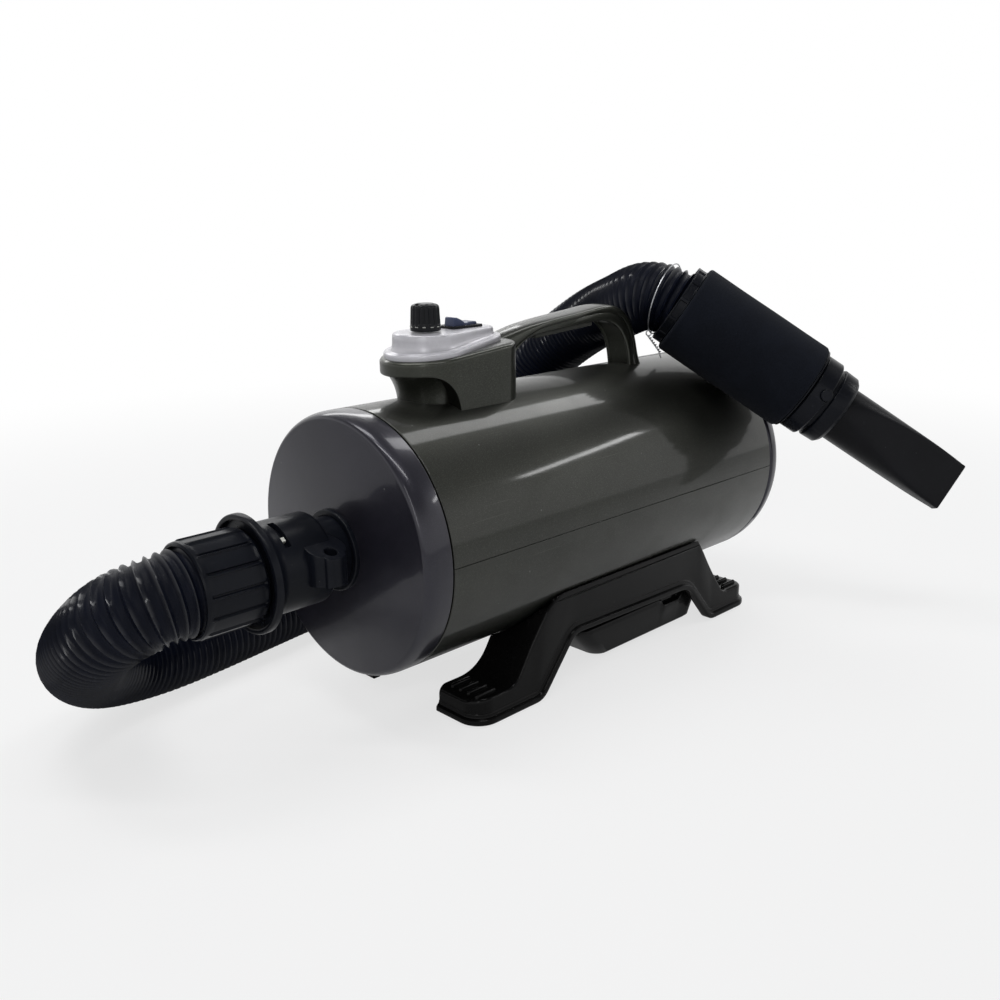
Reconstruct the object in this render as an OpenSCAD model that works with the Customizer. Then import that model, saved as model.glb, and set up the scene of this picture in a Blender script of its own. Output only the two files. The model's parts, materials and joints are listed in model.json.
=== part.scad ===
// Cylinder pet dryer: a two-motor blower on a cradle stand, with a ribbed
// hose, a foam-sleeved handset and a flat nozzle.
// X runs along the body, with the outlet at -X. Z is up. The origin is on the
// floor, midway between the four foot holes.

/* [Body] */
// Outer radius of the body
body_r = 100; // [95:1:106]
// Length of the housing between its two covers
housing_len = 400; // [385:5:430]
// Distance from the floor to the underside of the body
body_lift = 40; // [36:1:46]
// Thickness of the body's shells
wall = 3; // [2:0.5:4]
// Length of the front cover's side
front_len = 23; // [20:1:28]
// Rise of the front cover's shallow dome
dome_rise = 5; // [2:0.5:8]
// Length of the rear cover
rear_len = 25; // [22:1:30]
// Width of the groove between a cover and the housing
groove_w = 1.2; // [0.6:0.1:2]
// Depth to which a cover's lip enters the housing
lip_len = 10; // [6:1:14]

/* [Intake] */
// Width of the rear cover's rim round the filter cover
filter_rim = 28; // [26:1:34]
// Thickness of the filter cover
filter_cover_t = 6; // [5:0.5:8]
// Thickness of the intake filter
filter_t = 10; // [6:1:12]
// Number of grille slots in the filter cover
grille_count = 24; // [16:2:30]

/* [Console] */
// Radius of the console pod's round front
pod_r = 36; // [33:1:38]
// Thickness of the console pod's shell
pod_wall = 3; // [2:0.5:4]
// Height of the pod's rim band
rim_h = 11; // [8:1:14]
// Radius of the pod's neck below the rim band
neck_r = 20; // [18:1:24]
// Thickness of the sloped panel flange
flange_t = 4; // [3:0.5:5]
// Height of the panel's deck above the body's top
deck_z = 48.5; // [47.5:0.5:50]
// Radius of the speed knob
knob_r = 11; // [9:0.5:13]
// Height of the speed knob
knob_h = 20; // [16:1:24]
// Radius of the speed control's shaft
shaft_r = 3; // [2.5:0.25:3.5]
// Length of the rocker switch's frame
rocker_len = 30; // [28:1:32]
// Width of the rocker switch's frame
rocker_w = 20; // [18:1:21]
// Tilt of the rocker key to each side
rocker_tilt = 12; // [8:1:14]

/* [Handle] */
// Width of the carry handle
handle_w = 26; // [22:1:30]
// Height of the handle's top above the body's top
handle_z = 55; // [52:1:60]
// Length of the handle from the console to the end of its rear foot
handle_len = 168; // [158:2:176]
// Length of the grip insert
grip_len = 71; // [60:1:78]
// Width of the grip insert
grip_w = 20; // [16:1:22]

/* [Outlet] */
// Outer radius of the outlet spigot
spigot_r = 26; // [25:0.5:27]
// Bore radius of the outlet spigot
spigot_bore = 22; // [19:0.5:23]
// Length of the spigot in front of the front cover
spigot_len = 33; // [28:1:38]
// Outer radius of the outlet collar
collar_r = 33.4; // [33:0.2:35]
// Radius of the collar's front flange
collar_flange_r = 42.5; // [40:0.5:46]
// Length of the collar
collar_len = 54; // [50:1:58]
// Radius of the hole in the collar's ear
ear_hole_r = 2.6; // [2:0.1:3]

/* [Hose] */
// Outer radius of the ribbed hose
hose_r = 30.5; // [29:0.25:31]
// Depth of the hose's ribs
rib_depth = 2.4; // [1.2:0.2:3]
// Thickness of the hose's wall below the ribs
hose_wall = 2.6; // [1.5:0.1:3.5]
// Number of ribs along the hose
rib_count = 166; // [120:1:180]
// Length of the cuff that grips the hose
cuff_len = 46; // [42:1:52]
// Outer radius of the cuff's grip
cuff_r = 34; // [33.5:0.25:36]
// Number of flats around the cuff's grip
cuff_flats = 14; // [10:1:20]

/* [Handset] */
// Outer radius of the foam sleeve
sleeve_r = 41; // [38:0.5:44]
// Length of the foam sleeve
sleeve_len = 126; // [120:1:130]
// Outer radius of the tube inside the sleeve
tube_r = 33; // [32.5:0.25:35]
// Direction of the handset in plan
handset_heading = -55.5; // [-60:0.5:-50]
// Dip of the handset below level
handset_dip = 33; // [30:0.5:36]
// Place of the handset's resting point along the body
handset_x = 151; // [146:1:156]
// Outer radius of the adapter ring
adapter_r = 36; // [34:0.5:38]
// Length of the adapter ring
adapter_len = 36; // [34:1:40]
// Outer radius of the nozzle's round end
nozzle_r = 25.3; // [24:0.1:26]
// Length of the nozzle in front of the adapter
nozzle_len = 121; // [100:1:130]
// Width of the nozzle's mouth
mouth_w = 46; // [38:1:50]
// Height of the nozzle's mouth
mouth_h = 12; // [11:0.5:16]
// Roll of the nozzle's flat mouth
mouth_roll = -21; // [-30:1:30]

/* [Stand] */
// Half the length of the stand
stand_half = 185; // [180:1:192]
// Half the width over the stand's side plates
stand_w = 84; // [80:1:87]
// Thickness of the stand's plates
plate_t = 4; // [3:0.5:5]
// Height of the stand's feet
foot_h = 21; // [18:1:24]
// Length of the front feet
foot_front = 72; // [66:1:78]
// Length of the rear feet
foot_rear = 60; // [54:1:66]
// Distance from the stand's sides to the feet's inner walls
foot_in = 44; // [38:1:48]
// Height of the shoulders where the side plates meet the body
shoulder_z = 88; // [84:1:92]
// Height of the arch between the feet
arch_z = 45; // [40:1:50]
// Distance of the foot holes from the stand's ends
hole_dx = 33; // [30:1:37]
// Distance of the foot holes from the stand's sides
hole_dy = 22; // [19:1:25]
// Radius of the foot holes
hole_r = 2.75; // [2:0.25:3.5]
// Radius of the rubber feet
pad_r = 11; // [8:0.5:13]
// Height of the stand's lower edge above the floor
rim_lift = 1.5; // [1:0.25:3]

/* [Blower] */
// Outer radius of a motor's fan case
fan_r = 68; // [62:1:74]
// Length of a fan case
fan_len = 40; // [34:1:46]
// Outer radius of a motor frame
motor_r = 44; // [40:1:48]
// Length of a motor frame
motor_len = 62; // [54:1:66]
// Radius of a motor shaft
rotor_r = 4; // [3:0.25:5]
// Gap between the two fan cases
motor_gap = 40; // [30:2:50]
// Number of vanes on an impeller
vane_count = 9; // [7:1:12]
// Thickness of the sound liner
liner_t = 9; // [6:1:12]
// Radius of the cord gland's hole
gland_bore = 4; // [3:0.25:5]

/* [Fits] */
// Clearance between fixed pieces that fit together
fit_gap = 0.2; // [0.1:0.05:0.4]
// Clearance of a running fit, on the radius
run_gap = 0.05; // [0.02:0.01:0.08]
// Clearance between pieces that lie loose on each other
loose_gap = 0.3; // [0.2:0.05:0.5]

/* [Hidden] */
$fn = 64;

// Side of the blocks that only cut away.
big = 3 * (body_r + pod_r);

// Body: everything below is measured from the middle of the housing.
body_x = -16;
axis_z = body_lift + body_r;
half_len = housing_len / 2;
seam_z = 2;
shell_r = body_r - wall;
front_x = -half_len - front_len;
rear_x = half_len + rear_len;
round_len = 14.6;
round_drop = 6.1;
face_r = body_r - round_drop;
rear_round = 20;
seat_r = 46;
seat_x = front_x + 3;
screw_r = 2;
screw_pcd = body_r - 16;
boss_r = 5.5;
boss_len = 16;

// Rear cover and filter.
filter_r = body_r - filter_rim;
cover_seat = filter_cover_t + 1;
throat_r = filter_r - 8;

// Console: x places are measured from the middle of the housing.
slope = atan(0.148);
deck_top = body_r + deck_z;
slope_drop = 16.5;
slope_z = deck_top - slope_drop;
pod_inset = 67;
pod_run = 80;
pod_sink = 12;
pod_x = -half_len + pod_inset;
pod_end = pod_x + pod_run;
pod_base = body_r - pod_sink;
corner_r = 22;
corner_x = pod_end - corner_r;
corner_y = pod_r - corner_r;
knob_x = pod_x - 1;
deck_inset = 9;
deck_front_r = pod_r - deck_inset;
window_in = 10;
deck_rear_r = 14;
deck_rear_x = corner_x;
flange_rear_r = 24;
flange_rear_x = pod_end - 0.5 - flange_rear_r;
deck_wall = 3;
rocker_step = 37;
rocker_x = pod_x + rocker_step;
rocker_y = 4;
rocker_t = 2;
key_len = rocker_len - 5;
key_w = rocker_w - 8;
pivot_z = deck_top - 2;
pivot_r = 1.5;
pot_r = 8;
pot_h = 12;
bush_r = 4.5;
bush_h = 3;
board_rise = 12;
board_z = body_r + board_rise;
board_t = 1.6;
board_l = 56;
board_w = 58;
board_step = 36;
board_x = pod_x + board_step;
lead_step = 17;
lead_x = pod_x + lead_step;
lead_r = 2.5;

// Handle.
handle_top = body_r + handle_z;
grip_x = pod_end + 0.375 * handle_len;
grip_t = 5.5;
grip_z = body_r + 0.705 * handle_z;
grip_slope = atan(0.082 * handle_z / (0.422 * handle_len));
rear_foot_x = pod_end + 0.91 * handle_len;
handle_screw_drop = 20;
handle_screw_z = handle_top - handle_screw_drop;
foot_screw_len = 16;

// Outlet and cuff.
collar_back = front_x - spigot_len + 7;
collar_front = collar_back - collar_len;
spigot_end = front_x - spigot_len - 5;
socket_r = collar_r - 3.9;
nose_r = socket_r - fit_gap;
grip_start = collar_front + 1;
cuff_end = grip_start - cuff_len;
hose_start = grip_start - 6;
hose_socket = hose_r + loose_gap;
hose_bore = hose_r - rib_depth - hose_wall;
slot_w = 4;
slot_x = collar_front + 19;
slot_from = 8;
slot_to = 50;
latch_at = 38;
ear_x = collar_back - 8;
ear_y = -collar_r - 5;
ear_z = 14;
ear_t = 8;
ear_r = 7;

// Handset: measured along its own axis from its resting point.
ring_len = 9;
ring_slack = 3;
ring_flare = 2;
ring_r = hose_r + ring_slack + 3;
notch_w = 4;
notch_len = 5;
notch_depth = 0.8;
sleeve_back = 10 - 78;
sleeve_front = sleeve_back + sleeve_len;
ring_back = sleeve_back - ring_len;
rim_t = 1.5;
tube_shoulder = sleeve_back + 49;
tube_bore = hose_bore;
neck_spigot_r = tube_bore + 3;
adapter_back = sleeve_front + rim_t + 1.5;
adapter_front = adapter_back + adapter_len;
adapter_step = adapter_back + 18;
neck_end = adapter_back + 7;
nozzle_front = adapter_front + nozzle_len;
nozzle_wall = 2;
nozzle_tail = 14;
button_t = adapter_step - 5;
button_at = -105;
button_r = 5;
rest_r = body_r + sleeve_r + loose_gap;
axis_tilt = 90 + handset_dip;
handset_dir = [cos(handset_dip) * cos(handset_heading),
    cos(handset_dip) * sin(handset_heading), -sin(handset_dip)];
rest_side = sqrt(pow(handset_dir[1], 2) + pow(handset_dir[2], 2));
rest_dir = [0, handset_dir[2] / rest_side, -handset_dir[1] / rest_side];
handset_at = [handset_x, 0, axis_z] + rest_r * rest_dir;

// Stand.
foot_plate = 5;
foot_y = stand_w - foot_in;
hole_x = stand_half - hole_dx;
hole_y = stand_w - hole_dy;
lip_out = 3;
lip_h = 5;
leg_root = stand_half - 43;
foot_round = 16;
foot_rib_r = 2.2;
foot_rib_h = 1.6;
foot_rib_step = 7;
shoulder_front = 98;
shoulder_rear = 90;
arch_front = 64;
arch_rear = 84;
saddle_gap = 1;
saddle_t = 4;
saddle_angle = 56;
saddle_front = -100;
saddle_rear = 95;
stand_screw_x = 80;
stand_screw_r = 2.2;
stand_head_r = 4.5;
pan_front = -63;
pan_rear = 97;
pan_low_z = 4;
pan_wall = 3;
liner_gap = 0.1;

// Blower: two motors in line, each with its fan case towards the intake.
front_motor = -(motor_gap / 2) - fan_len;
rear_motor = motor_gap / 2 + motor_len;
mount_t = 10;
mount_at = fan_len - mount_t - 2;
fan_wall = 2;
eye_r = 24;
hub_r = 10;
can_t = 3;
gland_r = 8;
gland_z = -screw_pcd;

// ---- Helpers ----

module on_axis() {
    translate([body_x, 0, axis_z])
        children();
}

// A turned solid about the body's axis, from points [x, radius].
module lathe_x(points) {
    rotate([0, 90, 0])
        rotate_extrude($fn = 96)
            polygon([for (p = points) [p[1], p[0]]]);
}

module rod_x(x0, x1, r) {
    translate([x0, 0, 0])
        rotate([0, 90, 0])
            cylinder(r = r, h = x1 - x0, $fn = 96);
}

module tube_x(x0, x1, r, bore) {
    difference() {
        rod_x(x0, x1, r);
        rod_x(x0 - 1, x1 + 1, bore);
    }
}

module rod_z(z0, z1, r) {
    translate([0, 0, z0])
        cylinder(r = r, h = z1 - z0);
}

module tube_z(z0, z1, r, bore) {
    difference() {
        rod_z(z0, z1, r);
        rod_z(z0 - 1, z1 + 1, bore);
    }
}

// A ring screw pattern about the body's axis.
module around_axis(count, first) {
    for (i = [0 : count - 1])
        rotate([first + i * 360 / count, 0, 0])
            children();
}

// The outline round two circles on the X axis, r0 at x0 and r1 at x1.
module taper(x0, r0, x1, r1) {
    turn = acos((r0 - r1) / (x1 - x0));
    c = cos(turn);
    s = sin(turn);
    translate([x0, 0])
        circle(r = r0);
    translate([x1, 0])
        circle(r = r1);
    polygon([[x0 + r0 * c, r0 * s], [x1 + r1 * c, r1 * s],
        [x1 + r1 * c, -r1 * s], [x0 + r0 * c, -r0 * s]]);
}

// ---- Body ----

// Rounded front edge, a superellipse quarter, then the shallow dome.
function front_profile(inset) = [
    for (i = [0 : 10])
        let (a = i * 9)
            [front_x + round_len - (round_len - inset) * pow(sin(a), 0.8),
                face_r - inset * 0.5 + (round_drop - inset * 0.5)
                    * pow(cos(a), 0.8)],
    for (r = [face_r - 8 : -12 : 4])
        [front_x + inset - dome_rise * (1 - pow(r / face_r, 2)), r],
    [front_x + inset - dome_rise, 0]];

// Rounded rear edge, then the flat rear face.
function rear_profile(inset) = [
    for (i = [0 : 9])
        let (a = i * 10, r = rear_round - inset)
            [rear_x - rear_round + r * sin(a),
                body_r - rear_round + r * cos(a)],
    [rear_x - inset, 0]];

module housing_tube() {
    difference() {
        tube_x(-half_len + groove_w / 2, half_len - groove_w / 2,
            body_r, shell_r);
        // Lead hole under the pod, and the screw holes of handle and stand.
        translate([lead_x, 0, 0])
            rod_z(0, body_r + 5, lead_r * 2);
        translate([rear_foot_x, 0, 0])
            rod_z(0, body_r + 5, screw_r + fit_gap);
        for (x = [-stand_screw_x, stand_screw_x])
            translate([x - body_x, 0, 0])
                rod_z(-body_r - 5, 0, stand_screw_r);
    }
}

module screw_bosses() {
    around_axis(4, 45)
        translate([0, 0, screw_pcd])
            difference() {
                rod_x(half_len - groove_w / 2 - boss_len,
                    half_len - groove_w / 2, boss_r);
                rod_x(half_len - boss_len + 3, half_len + 1, screw_r);
            }
    // Webs tie the bosses to the shell.
    around_axis(4, 45)
        translate([half_len - groove_w / 2 - boss_len, -1.5, screw_pcd + 4])
            cube([boss_len, 3, shell_r + 1 - screw_pcd - 4]);
}

module upper_housing() {
    color("dimgray")
        on_axis()
            intersection() {
                union() {
                    housing_tube();
                    screw_bosses();
                }
                translate([-half_len, -body_r - 1, seam_z])
                    cube([housing_len, 2 * body_r + 2, body_r + 1]);
            }
}

module lower_housing() {
    color("dimgray")
        on_axis()
            intersection() {
                union() {
                    housing_tube();
                    screw_bosses();
                }
                translate([-half_len, -body_r - 1, -body_r - 1])
                    cube([housing_len, 2 * body_r + 2,
                        body_r + 1 + seam_z]);
            }
}

module front_cover() {
    color([0.24, 0.22, 0.27])
        on_axis()
            difference() {
                union() {
                    difference() {
                        lathe_x(concat([[-half_len - groove_w / 2, 0],
                            [-half_len - groove_w / 2, body_r]],
                            front_profile(0)));
                        lathe_x(concat([[-half_len, 0],
                            [-half_len, shell_r]],
                            front_profile(wall)));
                    }
                    // Lip inside the housing.
                    tube_x(-half_len - 6, -half_len + lip_len,
                        shell_r - fit_gap, shell_r - wall);
                    tube_x(-half_len - 6, -half_len - groove_w / 2,
                        shell_r + 0.5, shell_r - wall);
                    // Seat for the spigot's flange.
                    tube_x(front_x - dome_rise + 1, seat_x, seat_r,
                        spigot_r + fit_gap);
                }
                rod_x(front_x - 20, seat_x + 1, spigot_r + fit_gap);
            }
}

module rear_cover() {
    color([0.24, 0.22, 0.27])
        on_axis()
            difference() {
                union() {
                    difference() {
                        lathe_x(concat([[half_len + groove_w / 2, 0],
                            [half_len + groove_w / 2, body_r]],
                            rear_profile(0)));
                        lathe_x(concat([[half_len, 0],
                            [half_len, shell_r]], rear_profile(wall)));
                    }
                    tube_x(half_len - lip_len, half_len + 4,
                        shell_r - fit_gap, shell_r - wall);
                    tube_x(half_len + groove_w / 2, half_len + 4,
                        shell_r + 0.5, shell_r - wall);
                    // Seat of the filter cover.
                    tube_x(rear_x - cover_seat - 4, rear_x - 1,
                        filter_r + 4, throat_r);
                    // Screw towers, and one for the cord gland.
                    around_axis(4, 45)
                        translate([0, 0, screw_pcd])
                            rod_x(half_len + groove_w / 2, rear_x - 4,
                                boss_r);
                    translate([0, 0, gland_z])
                        rod_x(rear_x - 12, rear_x - 2, gland_r + 2);
                }
                rod_x(rear_x - cover_seat, rear_x + 1, filter_r + fit_gap);
                rod_x(half_len - 20, rear_x, throat_r);
                around_axis(4, 45)
                    translate([0, 0, screw_pcd])
                        union() {
                            rod_x(half_len - lip_len - 1, rear_x,
                                screw_r + fit_gap);
                            rod_x(rear_x - 8, rear_x + 1, screw_r * 2 + 0.5);
                        }
                // Room for the housing's bosses beside the lip.
                around_axis(4, 45)
                    translate([half_len - lip_len - 1,
                        -boss_r - 1, screw_pcd - boss_r - 1])
                        cube([lip_len + 1 + groove_w / 2,
                            2 * boss_r + 2, 30]);
                translate([0, 0, gland_z])
                    rod_x(rear_x - 20, rear_x + 1, gland_r + fit_gap);
            }
}

module cover_screws() {
    color("silver")
        on_axis()
            around_axis(4, 45)
                translate([0, 0, screw_pcd])
                    union() {
                        rod_x(half_len - boss_len + 4, rear_x - 7.5,
                            screw_r - 0.05);
                        difference() {
                            rod_x(rear_x - 8, rear_x - 5.5,
                                screw_r * 2);
                            // Cross recess.
                            for (a = [0, 90])
                                rotate([a, 0, 0])
                                    translate([rear_x - 6.5, -1.8, -0.5])
                                        cube([2, 3.6, 1]);
                        }
                    }
}

module filter_cover() {
    color([0.16, 0.16, 0.17])
        on_axis()
            difference() {
                union() {
                    rod_x(rear_x - cover_seat + fit_gap,
                        rear_x - cover_seat + fit_gap + filter_cover_t,
                        filter_r);
                    // Pull bar across the middle.
                    translate([rear_x - 2, -14, -4])
                        cube([7, 28, 8]);
                }
                for (ring = [0, 1])
                    around_axis(grille_count - 8 * ring, 0)
                        translate([rear_x - cover_seat, -1.6,
                            22 + 24 * ring])
                            cube([cover_seat + 1, 3.2, 18]);
            }
}

module intake_filter() {
    color([0.13, 0.13, 0.13])
        on_axis()
            rod_x(rear_x - cover_seat - filter_t, rear_x - cover_seat,
                throat_r - 1);
}

module cord_gland() {
    color([0.1, 0.1, 0.1])
        on_axis()
            translate([0, 0, gland_z])
                difference() {
                    union() {
                        rod_x(rear_x - 16, rear_x + 1, gland_r);
                        rod_x(rear_x + 0.2, rear_x + 5, gland_r + 2.5);
                    }
                    rod_x(rear_x - 20, rear_x + 9, gland_bore);
                }
}

// ---- Console ----

module pod_plan(inset) {
    translate([pod_x, 0])
        circle(r = pod_r - inset);
    translate([pod_x, -pod_r + inset])
        square([corner_x - pod_x, 2 * (pod_r - inset)]);
    for (s = [-1, 1])
        translate([corner_x, s * corner_y])
            circle(r = corner_r - inset);
    translate([corner_x, -corner_y])
        square([corner_r - inset, 2 * corner_y]);
}

// Everything above the sloped plane, raised by rise.
module above_slope(rise) {
    translate([pod_x, 0, slope_z + rise])
        rotate([0, -slope, 0])
            translate([-big / 2, -big / 2, 0])
                cube(big);
}

// A concave flare from the neck up to the rim band.
module flare(inset) {
    top = slope_z - rim_h;
    translate([pod_x, 0, 0])
        rotate_extrude()
            polygon([[0, pod_base],
                for (i = [0 : 8])
                    let (f = i / 8)
                        [neck_r - inset + (pod_r - neck_r) * pow(f, 3),
                            pod_base + (top - pod_base) * f + 2 * f],
                [0, top + 2]]);
}

module pod_solid(inset) {
    difference() {
        union() {
            // Rim band: the whole plan, one band high.
            difference() {
                translate([0, 0, slope_z - 2 * rim_h])
                    linear_extrude(5 * rim_h)
                        pod_plan(inset);
                translate([pod_x, 0, slope_z - rim_h])
                    rotate([0, -slope, 0])
                        translate([-big, -big / 2, -big])
                            cube(big);
            }
            // Rear part: straight walls down to the body.
            difference() {
                translate([0, 0, pod_base])
                    linear_extrude(slope_z - pod_base)
                        pod_plan(inset);
                translate([pod_x - big + inset, -big / 2, pod_base - 1])
                    cube(big);
            }
            flare(inset);
        }
        above_slope(-inset);
    }
}

module control_pod() {
    color([0.36, 0.37, 0.34])
        on_axis()
            difference() {
                union() {
                    difference() {
                        pod_solid(0);
                        pod_solid(pod_wall);
                    }
                    // Posts for the control board.
                    intersection() {
                        for (x = [-1, 1], y = [-1, 1])
                            translate([board_x + x * (board_l / 2 - 5),
                                y * (board_w / 2 - 5), 0])
                                rod_z(board_z + board_t, slope_z + 20, 3.5);
                        pod_solid(0.5);
                    }
                }
                rod_x(-half_len, half_len, body_r + fit_gap);
                // Window for the speed control and the switch.
                translate([0, 0, slope_z - slope_drop])
                    linear_extrude(big)
                        taper(pod_x, deck_front_r - window_in, deck_rear_x,
                            deck_rear_r - 3);
                // Holes for the handle's front screw.
                translate([pod_end - 10, 0, handle_screw_z])
                    rod_x(0, 20, screw_r + fit_gap);
            }
}

module control_panel() {
    color("silver")
        on_axis()
            difference() {
                union() {
                    // Sloped flange.
                    translate([pod_x, 0, slope_z])
                        rotate([0, -slope, 0])
                            translate([-pod_x, 0, 0])
                                linear_extrude(flange_t)
                                    taper(pod_x, pod_r - 1, flange_rear_x,
                                        flange_rear_r);
                    // Raised deck.
                    translate([0, 0, slope_z - 10])
                        linear_extrude(deck_top - slope_z + 10)
                            taper(pod_x, deck_front_r, deck_rear_x,
                                deck_rear_r);
                }
                // Underside: the sloped plane, and the hollow of the deck.
                difference() {
                    translate([pod_x - 2 * pod_r, -2 * pod_r,
                        slope_z - pod_r])
                        cube([6 * pod_r, 4 * pod_r, 2 * pod_r]);
                    above_slope(0.02);
                }
                translate([0, 0, slope_z - 20])
                    linear_extrude(deck_top - deck_wall - slope_z + 20)
                        taper(pod_x, deck_front_r - deck_wall,
                            deck_rear_x, deck_rear_r - deck_wall);
                translate([knob_x, 0, 0])
                    rod_z(deck_top - 10, deck_top + 5, bush_r + fit_gap);
                translate([rocker_x - rocker_len / 2 + 2,
                    rocker_y - rocker_w / 2 + 2, slope_z - 10])
                    cube([rocker_len - 4, rocker_w - 4, big]);
            }
}

module speed_pot() {
    color([0.3, 0.3, 0.3])
        on_axis()
            translate([knob_x, 0, 0])
                difference() {
                    union() {
                        rod_z(deck_top - deck_wall - pot_h,
                            deck_top - deck_wall, pot_r);
                        rod_z(deck_top - deck_wall - 1, deck_top + 0.5,
                            bush_r);
                    }
                    rod_z(deck_top - 20, deck_top + bush_h + 1,
                        shaft_r + run_gap);
                }
}

module pot_shaft() {
    color("silver")
        on_axis()
            translate([knob_x, 0, 0])
                rod_z(deck_top - deck_wall - pot_h + 1, deck_top + knob_h - 6,
                    shaft_r);
}

module speed_knob() {
    color([0.1, 0.1, 0.1])
        on_axis()
            translate([knob_x, 0, deck_top + 1])
                difference() {
                    rotate_extrude(convexity = 4)
                        polygon([[0, 0], [knob_r + 0.5, 0],
                            [knob_r + 0.5, 3], [knob_r, 3.6],
                            for (i = [0 : 6])
                                [knob_r - 3 * (1 - cos(i * 15)),
                                    knob_h - 4 + 3 * sin(i * 15)],
                            [0, knob_h]]);
                    rod_z(-1, knob_h - 7 + 0.3, shaft_r + 0.02);
                    // Flutes round the side.
                    for (i = [0 : 23])
                        rotate([0, 0, i * 15])
                            translate([knob_r + 0.6, 0, 0])
                                rod_z(4.5, knob_h + 1, 1);
                    // Pointer groove on the top.
                    translate([-knob_r, -0.6, knob_h - 0.8])
                        cube([knob_r, 1.2, 2]);
                }
}

module rocker_switch() {
    color([0.08, 0.08, 0.08])
        on_axis()
            translate([rocker_x, rocker_y, 0]) {
                difference() {
                    union() {
                        translate([-rocker_len / 2, -rocker_w / 2,
                            deck_top])
                            cube([rocker_len, rocker_w, rocker_t]);
                        translate([-rocker_len / 2 + 2 + fit_gap,
                            -rocker_w / 2 + 2 + fit_gap, deck_top - 16])
                            cube([rocker_len - 4 - 2 * fit_gap,
                                rocker_w - 4 - 2 * fit_gap, 16.5]);
                    }
                    translate([-key_len / 2 - 0.2, -key_w / 2 - loose_gap,
                        deck_top - 13])
                        cube([key_len + 0.4, key_w + 2 * loose_gap, 30]);
                }
                // Pivot pin.
                translate([0, rocker_w / 2 - 2 - fit_gap, pivot_z])
                    rotate([90, 0, 0])
                        cylinder(r = pivot_r,
                            h = rocker_w - 4 - 2 * fit_gap);
            }
}

module rocker_key() {
    lobe = 5;
    color([0.3, 0.36, 0.45])
        on_axis()
            translate([rocker_x, rocker_y + key_w / 2, pivot_z])
                rotate([90, 0, 0])
                    difference() {
                        rotate([0, 0, -rocker_tilt])
                            linear_extrude(key_w)
                                polygon([
                                    [-key_len / 2 + 1.6, 0],
                                    [-key_len / 2 + 1.2, lobe + 3],
                                    [0, lobe + 0.6],
                                    [key_len / 2 - 1.2, lobe + 3],
                                    [key_len / 2 - 1.6, 0],
                                    [4, -2.4], [2.4, -4],
                                    [-2.4, -4], [-4, -2.4]]);
                        translate([0, 0, -1])
                            cylinder(r = pivot_r + run_gap,
                                h = key_w + 2);
                    }
}

module control_board() {
    color("darkgreen")
        on_axis() {
            translate([board_x - board_l / 2, -board_w / 2, board_z])
                cube([board_l, board_w, board_t]);
            // Transformer, capacitor and heat sink.
            translate([board_x - 22, -20, board_z + board_t])
                cube([14, 14, 7]);
            translate([board_x + 8, -8, 0])
                rod_z(board_z + board_t, board_z + board_t + 8, 4);
            translate([board_x - 2, 12, board_z + board_t])
                cube([20, 4, 8]);
        }
}

// ---- Handle ----

// Side view of the handle, in shares of its length and of its height above
// the body: the outer curve to the rear foot, then back along the inner one.
module handle_side() {
    outer = [[0, -0.2], [0, 0.8], [0.32, 0.89], [0.68, 1], [0.745, 1.003],
        [0.79, 0.98], [0.84, 0.91], [0.88, 0.78], [0.91, 0.62],
        [0.935, 0.4], [0.96, 0.18], [1, 0.04], [1.055, -0.2]];
    inner = [[0.863, -0.2], [0.863, 0], [0.85, 0.22], [0.82, 0.44],
        [0.785, 0.565], [0.715, 0.71], [0.59, 0.755], [0.168, 0.673],
        [0.095, 0.62], [0.048, 0.51], [0.024, 0.345], [0.015, 0.18],
        [0.012, -0.2]];
    polygon([for (p = concat(outer, inner))
        [pod_end + p[0] * handle_len, body_r + p[1] * handle_z]]);
}

module carry_handle() {
    color([0.36, 0.37, 0.34])
        on_axis()
            difference() {
                translate([0, handle_w / 2, 0])
                    rotate([90, 0, 0])
                        linear_extrude(handle_w)
                            handle_side();
                rod_x(-half_len, half_len, body_r + fit_gap);
                grip_block(fit_gap);
                // Screw holes at the front end and the rear foot.
                translate([pod_end - 1, 0, handle_screw_z])
                    rod_x(0, 11, screw_r + fit_gap);
                translate([rear_foot_x, 0, 0])
                    rod_z(body_r - 5, body_r + foot_screw_len + 2,
                        screw_r + fit_gap);
            }
}

// The grip insert follows the handle's sloping underside.
module grip_block(gap) {
    translate([grip_x, 0, grip_z])
        rotate([0, -grip_slope, 0])
            translate([-grip_len / 2 - gap, -grip_w / 2 - gap, -2.5])
                cube([grip_len + 2 * gap, grip_w + 2 * gap,
                    grip_t + gap]);
}

module grip_insert() {
    color([0.45, 0.46, 0.45])
        on_axis()
            grip_block(0);
}

module handle_screws() {
    color("silver")
        on_axis() {
            translate([pod_end, 0, handle_screw_z])
                union() {
                    rod_x(-pod_wall - 1, 9, screw_r);
                    rod_x(-pod_wall - 2.5, -pod_wall - 0.1,
                        screw_r * 2);
                }
            translate([rear_foot_x, 0, 0])
                union() {
                    rod_z(shell_r - 1, body_r + foot_screw_len, screw_r);
                    rod_z(shell_r - 3, shell_r - 0.3, screw_r * 2);
                }
        }
}

// Room inside the shell for the head of the handle's rear screw and for the
// ends of the stand's screws.
module screw_room() {
    translate([rear_foot_x, 0, 0])
        rod_z(shell_r - 4, body_r, screw_r * 2 + loose_gap);
    for (x = [-stand_screw_x, stand_screw_x])
        translate([x - body_x, 0, 0])
            rod_z(-body_r, -shell_r + 7, stand_screw_r + loose_gap);
}

// ---- Outlet and hose ----

module outlet_spigot() {
    color([0.1, 0.1, 0.11])
        on_axis()
            difference() {
                union() {
                    rod_x(spigot_end, seat_x + 3, spigot_r);
                    rod_x(seat_x, seat_x + 4, seat_r - 4);
                }
                rod_x(spigot_end - 1, seat_x + 5, spigot_bore);
            }
}

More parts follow.
